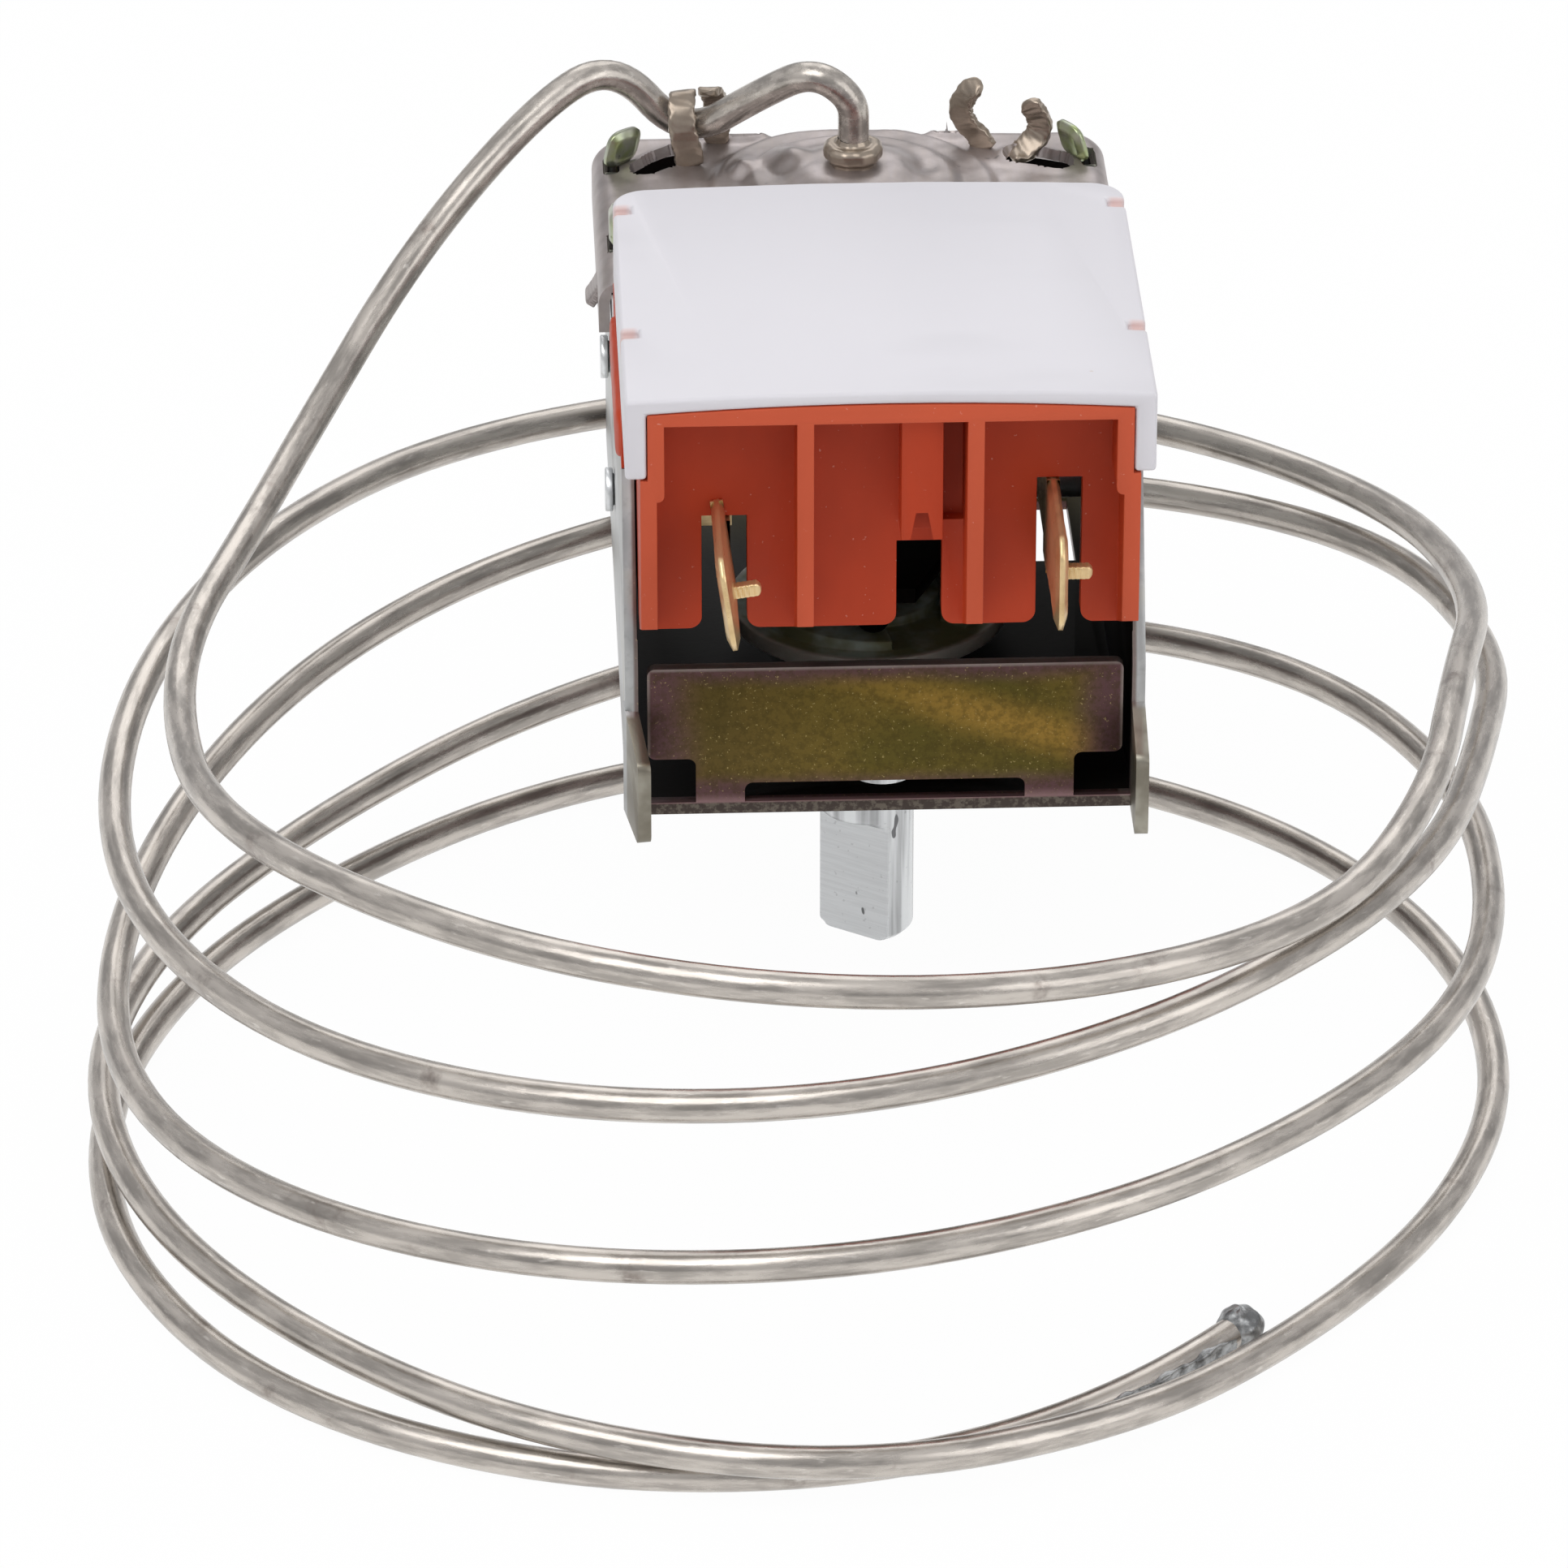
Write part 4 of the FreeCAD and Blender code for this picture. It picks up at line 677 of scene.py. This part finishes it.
# The element cup in millimetres: its flat part, its bends, the dome and what is pierced in it.
CUP_TOP, CUP_FRONT, CUP_FLAT_X, CUP_FLAT_REAR, CUP_BEND, CUP_CORNER, CUP_SKIRT = 22.0, 8.0, 15.3, 29.8, 1.4, 1.3, 3.4
DOME_Y = 21.8
DOME_STEPS = ((9.6, 0.9, 0.45), (7.3, 1.0, 0.5), (5.5, 3.0, 0.95))  # outer radius, width and height of each step
EMBOSSES = (  # x, y, long radius, short radius, turn, height
    (-4.1, 23.6, 2.9, 1.9, 1.75, 0.95), (-7.0, 23.9, 2.1, 1.1, 1.3, 0.7), (4.4, 22.6, 2.6, 1.3, 1.2, -0.3),
)
TAB_HEADS = (  # centre, long axis, wide axis
    ((-14.75, 26.2, 23.25), (0.22, 0.02, 1.0), (0.80, 0.60, 0.0)),
    ((14.45, 26.2, 23.2), (-0.28, 0.02, 1.0), (0.55, -0.83, 0.0)),
    ((-15.5, 14.3, 23.2), (0.0, 0.0, 1.0), (0.0, 1.0, 0.0)),
    ((15.5, 14.3, 23.2), (0.0, 0.0, 1.0), (0.0, 1.0, 0.0)),
)


def beyond_flat(x, y):
    """Distance beyond the flat part's rounded outline, which is open in front, and the way out of it."""
    dx = np.maximum(np.abs(x) - (CUP_FLAT_X - CUP_CORNER), 0.0)
    dy = np.maximum(y - (CUP_FLAT_REAR - CUP_CORNER), 0.0)
    length = np.hypot(dx, dy)
    safe = np.maximum(length, 1e-6)
    return np.maximum(length - CUP_CORNER, 0.0), np.sign(x) * dx / safe, dy / safe


def slot_field(x, y, centre, length, width, turn):
    """Distance to a rounded slot, negative inside it."""
    c, s = math.cos(turn), math.sin(turn)
    along = (x - centre[0]) * c + (y - centre[1]) * s
    off = -(x - centre[0]) * s + (y - centre[1]) * c
    return np.hypot(np.maximum(np.abs(along) - (length - width) / 2, 0.0), off) - width / 2


CUP_SLOTS = (
    ((12.2, 25.7), 4.8, 2.2, -math.radians(24.0)), ((-12.2, 26.2), 5.0, 2.1, math.radians(42.0)),
    ((15.5, 26.2), 3.0, 1.1, math.pi / 2), ((-15.5, 26.2), 3.0, 1.1, math.pi / 2),
    ((15.5, 14.3), 3.0, 1.1, math.pi / 2), ((-15.5, 14.3), 3.0, 1.1, math.pi / 2),
    ((-6.6, 30.2), 2.2, 1.0, 0.1), ((6.5, 30.2), 1.8, 1.0, -0.05),
)


def cup_trim(x, y):
    """Positive where the cup has no sheet: past the skirt's edge, in the slots and round the tube's hole."""
    limit = CUP_BEND * math.pi / 2 + CUP_SKIRT - CUP_BEND
    past = beyond_flat(x, y)[0] - limit
    holes = [-slot_field(x, y, *slot) for slot in CUP_SLOTS]
    holes.append(1.15 - np.hypot(x, y - DOME_Y))
    return np.maximum.reduce([past] + holes)


def cup_place(x, y):
    """The flat grid lifted by the dome, its embosses and the lips round the slots, then bent down at the rim."""
    far, out_x, out_y = beyond_flat(x, y)
    angle = np.minimum(far / CUP_BEND, math.pi / 2)
    straight = np.maximum(far - CUP_BEND * math.pi / 2, 0.0)
    px = x - out_x * far + out_x * CUP_BEND * np.sin(angle)
    py = y - out_y * far + out_y * CUP_BEND * np.sin(angle)
    drop = CUP_BEND * (1 - np.cos(angle)) + straight

    def rise(value):
        t = np.clip(value, 0.0, 1.0)
        return t * t * (3 - 2 * t)

    radius = np.hypot(x, y - DOME_Y)
    lift = sum(height * rise((outer - radius) / width) for outer, width, height in DOME_STEPS)
    for cx, cy, long_r, short_r, turn, height in EMBOSSES:
        c, s = math.cos(turn), math.sin(turn)
        a = ((x - cx) * c + (y - cy) * s) / long_r
        b = (-(x - cx) * s + (y - cy) * c) / short_r
        lift = lift + height * rise(1.0 - np.hypot(a, b) * (1 - 0.25 * np.clip(a, -1, 1)))
    for slot in CUP_SLOTS[:2]:
        near_side = np.clip(0.6 + 0.4 * (y - slot[0][1]), 0.35, 1.0)
        lift = lift + 0.5 * near_side * np.exp(-(np.maximum(slot_field(x, y, *slot), 0.0) / 0.5) ** 2)
    for slot in CUP_SLOTS[6:]:
        lift = lift + 0.3 * np.exp(-(np.maximum(slot_field(x, y, *slot), 0.0) / 0.4) ** 2)
    ripple = 0.02 * np.sin(1.3 * x + 0.7 * y) + 0.015 * np.sin(2.9 * y - 1.1 * x)
    return px * MM, py * MM, (CUP_TOP + lift - drop + ripple) * MM


def lens(name, centre, long_axis, wide_axis, outline, thickness, edge):
    """A flat piece with thinned edges: the angle runs round its outline and the second parameter goes from the
    middle of one face over the edge to the middle of the other; the thickness falls near the outline."""
    long_axis, wide_axis = np.array(long_axis, dtype=float), np.array(wide_axis, dtype=float)
    normal = np.cross(long_axis, wide_axis)

    def formula(angle, station):
        share = 1.0 - np.abs(station)
        reach = outline(angle)
        room = reach * share
        half = 0.5 * thickness * np.clip(0.35 + 0.65 * (reach - room) / edge, 0.0, 1.0)
        side = np.where(np.abs(station) < 1e-6, 0.0, np.sign(station)) * half
        point = (np.array(centre) + (room * np.cos(angle))[..., None] * long_axis
                 + (room * np.sin(angle))[..., None] * wide_axis + side[..., None] * normal)
        return point[..., 0] * MM, point[..., 1] * MM, point[..., 2] * MM

    angle = np.linspace(0.0, 2 * np.pi, 96, endpoint=False)
    inner = np.array([1.0, 0.8, 0.6, 0.45, 0.35, 0.28, 0.22, 0.16, 0.1, 0.05, 0.02, 1e-4])
    return surface(name, angle, np.concatenate([inner, -inner[::-1]]), formula, closed=True)


def plane_outline(planes, power=24.0):
    """The radius inside a set of straight sides (distance, angle), softly rounded where they meet."""
    def radius(angle):
        total = 0.0
        for distance, turn in planes:
            total = total + (np.maximum(np.cos(angle - turn), 0.02) / distance) ** power
        return total ** (-1 / power)
    return radius


CLAWS = (  # knots, way across and width of the lanced claws: two close over the tube and two stand open
    ("claw_left_near", [(-10.3, 26.0, 21.8), (-10.5, 25.7, 23.0), (-10.8, 25.7, 24.3), (-10.9, 26.2, 25.6),
                        (-10.8, 27.2, 26.3), (-10.6, 28.2, 26.0)], (1.0, 0.1, 0.1), 1.9),
    ("claw_left_far", [(-8.6, 29.4, 21.8), (-8.5, 29.4, 23.4), (-8.6, 29.2, 24.9), (-8.9, 28.6, 25.9),
                       (-9.4, 27.9, 26.2)], (1.0, 0.0, 0.0), 1.7),
    ("claw_right_far", [(8.9, 28.0, 21.8), (8.5, 28.0, 22.7), (7.6, 28.0, 23.8), (7.3, 28.0, 24.8),
                        (7.7, 28.0, 25.8), (8.6, 28.0, 26.7)], (0.85, -0.5, 0.25), 1.75),
    ("claw_right_near", [(10.4, 26.9, 21.8), (11.3, 27.1, 22.1), (12.2, 27.4, 23.0), (12.4, 27.5, 23.9),
                         (12.0, 27.5, 24.8), (11.5, 27.5, 25.5)], (0.93, -0.35, 0.1), 1.75),
)
CUP_FLARE = [(-16.35, 13.4, 19.9), (-16.7, 13.4, 19.2), (-17.3, 13.4, 18.3)]


# The capillary tube's route, in metres. It repeats the route of the tube's solid.
LEAD = np.array([
    (0.0, 21.8, 23.6), (0.05, 21.8, 26.0), (0.0, 21.8, 28.4), (-2.6, 22.1, 30.2), (-5.8, 24.1, 27.8),
    (-10.7, 28.2, 22.9), (-15.3, 27.4, 28.9), (-20.6, 24.6, 26.5), (-28.5, 17.8, 19.7),
    (-35.0, 8.5, 12.4), (-39.2, -3.0, 10.0), (-42.6, -14.0, 9.4),
]) * MM
COIL_KEYS = np.array([
    (38.5, 8.5), (41.0, 12.5), (43.0, 12.5), (40.5, 9.5), (38.0, 9.5), (53.0, 3.0), (61.0, 0.0), (47.5, 4.0),
    (43.0, 1.5), (43.0, 2.5), (42.0, 5.0), (40.0, 7.5), (39.5, 4.0), (53.0, 0.0), (51.0, -2.5), (44.5, -5.0),
    (43.5, -10.5), (45.0, -7.5), (44.0, -4.5), (40.5, -4.0), (41.0, -6.5), (47.0, -7.5), (46.0, -10.5),
    (44.0, -16.0), (44.5, -16.6), (44.0, -16.8), (47.0, -16.6), (39.5, -19.0), (42.0, -19.0), (45.5, -19.0),
    (45.5, -19.0), (41.5, -19.0), (44.0, -19.0), (47.5, -19.0), (43.5, -19.0), (37.0, -19.0),
])
COIL_AXIS = (-4.0, -24.0)
TIP = np.array([(19.0, -54.0, -18.7)]) * MM
BEAD_RADIUS, BEAD_REACH, SEAM_OFFSET = 1.42, 1.05, 0.86


def coil_route():
    """Loose turns round a vertical axis: radius and height at every eighth of a turn, with a smooth point between."""
    keys = COIL_KEYS
    before = np.vstack([keys[:1], keys[:-2]])
    after = np.vstack([keys[2:], keys[-1:]])
    between = (9 * (keys[:-1] + keys[1:]) - before - after) / 16
    both = np.empty((2 * len(keys) - 2, 2))
    both[0::2] = keys[:-1]
    both[1::2] = between
    radius = both[:, 0] / math.cos(math.radians(11.25))
    height = np.maximum(both[:, 1], -19.0)
    turn = np.radians(180 + 22.5 * np.arange(len(both)))
    x = COIL_AXIS[0] + radius * np.cos(turn)
    y = COIL_AXIS[1] + radius * np.sin(turn)
    return np.stack([x, y, height], axis=1) * MM


class THERMOSTAT_OT_camera(bpy.types.Operator):
    """Sets the camera at the photograph's distance and angle"""
    bl_idname = "thermostat.camera"
    bl_label = "Camera"

    def execute(self, context):
        data = bpy.data.cameras.new("view_camera")
        data.sensor_width = 36.0
        data.lens = context.scene.thermostat_sizes.camera_lens
        data.clip_start = 0.02
        data.clip_end = 20.0
        camera = bpy.data.objects.new("view_camera", data)
        camera.location = CAMERA_PLACE
        camera.rotation_euler = (math.radians(CAMERA_TILT), 0.0, math.radians(CAMERA_TURN))
        context.scene.collection.objects.link(camera)
        context.scene.camera = camera
        return {"FINISHED"}


class THERMOSTAT_OT_capillary(bpy.types.Operator):
    """Lays the capillary tube from the ferrule through its loose coil to the sealed end"""
    bl_idname = "thermostat.capillary"
    bl_label = "Capillary tube"

    def execute(self, context):
        diameter = context.scene.thermostat_sizes.tube_diameter
        route = np.vstack([LEAD, coil_route(), TIP])
        curve = bpy.data.curves.new("capillary", "CURVE")
        curve.dimensions = "3D"
        spline = curve.splines.new("NURBS")
        spline.points.add(len(route) - 1)
        spline.points.foreach_set("co", np.c_[route, np.ones(len(route))].ravel())
        spline.order_u = 3
        spline.use_endpoint_u = True
        spline.resolution_u = 10
        tube = bpy.data.objects.new("capillary", curve)
        context.scene.collection.objects.link(tube)
        line = bpy.data.meshes.new_from_object(tube)
        follows = np.empty(3 * len(line.vertices))
        line.vertices.foreach_get("co", follows)
        follows = follows.reshape(-1, 3)
        bpy.data.meshes.remove(line)
        curve.bevel_depth = diameter / 2
        curve.bevel_resolution = 6
        curve.use_fill_caps = True
        tube.data.materials.append(finish_for("tinned_copper"))
        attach(tube, "root_body")
        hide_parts("capillary_tube")
        out = follows[-1] - follows[-3]
        out /= np.linalg.norm(out)
        bead_centre = follows[-1] + out * BEAD_REACH * MM

        def lumpy(turn, rise):
            """A ball whose radius wavers with sines of both angles."""
            radius = BEAD_RADIUS * MM * (1 + 0.03 * np.sin(5 * turn + 3 * rise)
                                  + 0.025 * np.sin(9 * rise - 4 * turn) * np.cos(rise))
            return (bead_centre[0] + radius * np.cos(rise) * np.cos(turn),
                    bead_centre[1] + radius * np.cos(rise) * np.sin(turn),
                    bead_centre[2] + radius * np.sin(rise))

        bead = surface("sealing_bead", np.linspace(0.0, 2 * np.pi, 48, endpoint=False),
                       np.linspace(-np.pi / 2, np.pi / 2, 33), lumpy, closed=True)
        rides(bead, "tube_end_bead")
        beside = np.array([out[1], -out[0], 0.0]) * SEAM_OFFSET * MM
        seam = band("crimp_seam", (follows[-12:] + beside) / MM, (0.0, 0.1, 1.0), 1.0, 0.5, 0.12, -0.3)
        rides(seam, "tube_end_bead")
        return {"FINISHED"}


class THERMOSTAT_OT_sheet_metal(bpy.types.Operator):
    """Dresses the bracket with its tab heads, the cam follower and the main lever"""
    bl_idname = "thermostat.sheet_metal"
    bl_label = "Sheet metal"

    def execute(self, context):
        width = context.scene.thermostat_sizes.edge_break
        for name in ("cam_follower", "main_lever"):
            softened_copy(name, width)
        softened_copy("bracket", width, cut_at=(0, 0, TAB_CUT_Z * MM), cut_normal=(0, 0, -1))
        oval = plane_outline([(1.2, 0.0), (1.25, math.pi), (1.3, math.pi / 2), (1.3, -math.pi / 2)], 3.2)
        for number, (centre, up, across) in enumerate(TAB_HEADS):
            rides(lens("tab_head_%d" % (number + 1), centre, up, across, oval, 0.8, 0.45), "bracket", "green_zinc")
        return {"FINISHED"}


class THERMOSTAT_OT_element_cup(bpy.types.Operator):
    """Presses the element cup with its dome, embosses, lipped slots and lanced claws"""
    bl_idname = "thermostat.element_cup"
    bl_label = "Element cup"

    def execute(self, context):
        limit = CUP_FLAT_X + CUP_BEND * math.pi / 2 + CUP_SKIRT
        x = np.arange(-limit, limit, 0.2)
        y = np.arange(CUP_FRONT, CUP_FLAT_REAR + limit - CUP_FLAT_X, 0.2)
        cup = rides(trimmed_sheet("element_cup_sheet", x, y, cup_trim, cup_place), "element_cup")
        thickened(cup, 0.7 * MM)
        for name, knots, across, width in CLAWS:
            rides(band(name, knots, across, width, 0.62), "element_cup", "lanced_claw")
        rides(band("cup_flare", CUP_FLARE, (0.0, 1.0, 0.0), 2.6, 0.7, 0.01, 0.05), "element_cup")
        return {"FINISHED"}


class THERMOSTAT_OT_spindle(bpy.types.Operator):
    """Turns the spindle and mills its flat"""
    bl_idname = "thermostat.spindle"
    bl_label = "Spindle"

    def execute(self, context):
        r, tip = SPINDLE_RADIUS, SPINDLE_TIP_Z
        corners = [(0.0, tip), (r - 0.45, tip), (r, tip + 0.45), (r, -0.75), (3.2, -0.6), (3.2, 2.58), (2.2, 2.6),
                   (2.2, 4.78), (0.0, 4.8)]
        body = rounded_profile(corners, 0.12)
        shank = np.stack([np.full(60, r), np.linspace(tip + 0.7, -1.0, 60)], axis=1)
        profile = np.vstack([body[:11], shank, body[11:]])

        def milled(angle, radius, height):
            """The round radius, or the flat's distance over the cosine, blended so that the edges stay soft."""
            run_out = np.clip((height / MM - SPINDLE_FLAT_TOP) / 0.5, 0.0, 1.0)
            depth = (SPINDLE_FLAT_DEPTH + 1.5 * run_out ** 2) * MM
            facing = np.maximum(np.cos(angle - SPINDLE_FLAT_TURN), 0.2)
            flat = np.where(height < (SPINDLE_FLAT_TOP + 0.6) * MM, depth / facing, 9.0 * MM)
            return radius * (1.0 + (radius / flat) ** 70.0) ** (-1 / 70.0)

        rides(revolved("spindle_turned", profile, (0.0, 0.0), 360, milled), "spindle", "milled_zinc")
        return {"FINISHED"}


class THERMOSTAT_OT_ferrule(bpy.types.Operator):
    """Turns the ferrule with its rounded collar and the solder round the tube"""
    bl_idname = "thermostat.ferrule"
    bl_label = "Ferrule"

    def execute(self, context):
        corners = [(1.0, 23.7), (1.55, 23.75), (1.55, 24.1), (1.9, 24.35), (1.92, 25.0), (1.6, 25.3), (1.15, 25.25),
                   (1.0, 25.6)]
        profile = rounded_profile(corners, 0.2, 6)

        def uneven(angle, radius, height):
            """The collar's radius wavers with sines of the angle and height."""
            return radius * (1 + 0.02 * np.sin(5 * angle) + 0.015 * np.sin(11 * angle + 900.0 * height))

        rides(revolved("ferrule_turned", profile, (0.0, DOME_Y), 120, uneven), "ferrule", "lanced_claw")
        return {"FINISHED"}


class THERMOSTAT_OT_mouldings(bpy.types.Operator):
    """Dresses the switch block, its cover and the moulded buttons"""
    bl_idname = "thermostat.mouldings"
    bl_label = "Mouldings"

    def execute(self, context):
        sizes = context.scene.thermostat_sizes
        softened_copy("terminal_block", sizes.moulding_round)
        for name, side in (("block_flange_left", -1.0), ("block_flange_right", 1.0)):
            knots = [(side * 15.65, y, 22.9) for y in (-17.0, -10.0, -4.0, -1.5)]
            rides(band(name, knots, (0.0, 0.0, 1.0), 3.2, 1.2, 0.008, 0.0), "terminal_block")
        softened_copy("block_cover", sizes.cover_round, 3)
        for name in ("thrust_button", "pusher"):
            softened_copy(name, sizes.moulding_round)
        return {"FINISHED"}


class THERMOSTAT_OT_terminals(bpy.types.Operator):
    """Dresses the terminals with their blades and pins, and the contact arm"""
    bl_idname = "thermostat.terminals"
    bl_label = "Terminals"

    def execute(self, context):
        width = context.scene.thermostat_sizes.edge_break
        softened_copy("contact_arm", width)
        sides = plane_outline([(4.5, 0.0), (5.2, math.pi), (3.15, math.pi / 2), (3.15, -math.pi / 2),
                               (4.70, math.pi / 4), (4.70, -math.pi / 4)], 60.0)
        for name, x, z, lean in (("left_terminal", -9.9, 18.9, math.radians(-8.0)),
                                 ("right_terminal", 10.0, 19.9, 0.0)):
            softened_copy(name, width, cut_at=(0, BLADE_CUT_Y * MM, 0), cut_normal=(0, 1, 0))
            up = (math.sin(lean), 0.0, math.cos(lean))
            out = (math.cos(lean), 0.0, -math.sin(lean))
            rides(lens(name + "_blade", (x, BLADE_MIDDLE_Y, z), (0, -1, 0), up, sides, 0.8, 0.75), name)
            root = np.array([x, BLADE_MIDDLE_Y, z - 0.9])
            knots = [root + np.array(out) * reach for reach in (0.2, 0.8, 1.4, 2.15)]
            rides(band(name + "_pin", knots, up, 0.85, 0.8, 0.02, 0.0), name)
        return {"FINISHED"}


class THERMOSTAT_OT_turned_parts(bpy.types.Operator):
    """Dresses the cam, pins, nut, screw, contacts and diaphragm, and gives the range spring its finish"""
    bl_idname = "thermostat.turned_parts"
    bl_label = "Turned parts"

    def execute(self, context):
        width = context.scene.thermostat_sizes.edge_break
        for name in ("cam", "follower_pin", "lever_pin", "range_nut", "range_screw", "fixed_contact",
                     "moving_contact", "contact_arm_pin", "diaphragm"):
            softened_copy(name, width)
        wear(frame["nodes"]["range_spring"], NODE_SLOTS["range_spring"])
        return {"FINISHED"}


class THERMOSTAT_OT_stage(bpy.types.Operator):
    """Lays the pale floor and sets the soft lights"""
    bl_idname = "thermostat.stage"
    bl_label = "Stage"

    def execute(self, context):
        colours = context.scene.thermostat_colours
        half = 3.0
        corners = np.array([(-half, -half, FLOOR_Z), (half, -half, FLOOR_Z), (half, half, FLOOR_Z),
                            (-half, half, FLOOR_Z)])
        floor = mesh_object("floor", corners, [(0, 1, 2, 3)])
        floor.data.materials.append(floor_finish(tuple(colours.floor_white)))
        soft_box("key_light", (-0.30, -0.40, 0.75), 0.55, 2.6)
        soft_box("fill_light", (0.60, -0.45, 0.35), 0.50, 1.1)
        soft_box("back_light", (0.05, 0.60, 0.60), 0.60, 1.2)
        pale_world()
        return {"FINISHED"}


def floor_finish(pale):
    """Pale floor whose seen colour is nearly all its own light, so that it stays white and keeps a faint shadow."""
    material, tree, shader = blank_material("pale_floor", 0.0, 0.9)
    shader.inputs["Base Color"].default_value = (*pale, 1.0)
    path = node(tree, "ShaderNodeLightPath")
    through = math_node(tree, "MAXIMUM", path.outputs["Is Glossy Ray"], path.outputs["Is Transmission Ray"])
    seen = math_node(tree, "MAXIMUM", path.outputs["Is Camera Ray"], through)
    glow = node(tree, "ShaderNodeEmission", Strength=1.0)
    blend = node(tree, "ShaderNodeMixShader")
    tree.links.new(times(tree, seen, 0.97), blend.inputs[0])
    tree.links.new(shader.outputs[0], blend.inputs[1])
    tree.links.new(glow.outputs[0], blend.inputs[2])
    tree.links.new(blend.outputs[0], tree.nodes["Material Output"].inputs["Surface"])
    return material


def soft_box(name, place, size, watts):
    """A square lamp that faces the origin of the frame."""
    data = bpy.data.lights.new(name, "AREA")
    data.shape = "SQUARE"
    data.size = size
    data.energy = watts
    lamp = bpy.data.objects.new(name, data)
    x, y, z = place
    lamp.location = place
    lamp.rotation_euler = (math.atan2(math.hypot(x, y), z), 0.0, math.atan2(x, -y))
    bpy.context.scene.collection.objects.link(lamp)


def pale_world():
    """World light that is brightest overhead and falls to a mid grey at the horizon."""
    world = bpy.data.worlds.new("pale_world")
    bpy.context.scene.world = world
    world.use_nodes = True
    tree = world.node_tree
    rise = ramp(tree, axes(tree, node(tree, "ShaderNodeTexCoord").outputs["Generated"])[2], -0.1, 0.9)
    light = mixed(tree, rise, (0.42, 0.42, 0.43), (0.66, 0.66, 0.67))
    tree.links.new(light, tree.nodes["Background"].inputs["Color"])
    tree.nodes["Background"].inputs["Strength"].default_value = 1.0


OPERATORS = (
    THERMOSTAT_OT_camera, THERMOSTAT_OT_capillary, THERMOSTAT_OT_sheet_metal, THERMOSTAT_OT_element_cup,
    THERMOSTAT_OT_spindle, THERMOSTAT_OT_ferrule, THERMOSTAT_OT_mouldings, THERMOSTAT_OT_terminals,
    THERMOSTAT_OT_turned_parts, THERMOSTAT_OT_stage,
)


class THERMOSTAT_PT_sidebar(bpy.types.Panel):
    bl_idname = "THERMOSTAT_PT_sidebar"
    bl_label = "Capillary thermostat"
    bl_space_type = "VIEW_3D"
    bl_region_type = "UI"
    bl_category = "Thermostat"

    def draw(self, context):
        for piece in OPERATORS:
            self.layout.operator(piece.bl_idname)
        for group in (context.scene.thermostat_sizes, context.scene.thermostat_colours):
            for key in group.bl_rna.properties.keys():
                if key not in ("rna_type", "name"):
                    self.layout.prop(group, key)


CLASSES = (ThermostatSizes, ThermostatColours, *OPERATORS, THERMOSTAT_PT_sidebar)


def register():
    for cls in CLASSES:
        bpy.utils.register_class(cls)
    bpy.types.Scene.thermostat_sizes = bpy.props.PointerProperty(type=ThermostatSizes)
    bpy.types.Scene.thermostat_colours = bpy.props.PointerProperty(type=ThermostatColours)


def unregister():
    del bpy.types.Scene.thermostat_colours
    del bpy.types.Scene.thermostat_sizes
    for cls in reversed(CLASSES):
        bpy.utils.unregister_class(cls)


def main():
    register()
    scene = bpy.context.scene
    scene.view_settings.view_transform = "Standard"
    for piece in OPERATORS:
        group, call = piece.bl_idname.split(".")
        getattr(getattr(bpy.ops, group), call)()


if __name__ == "__main__":
    main()
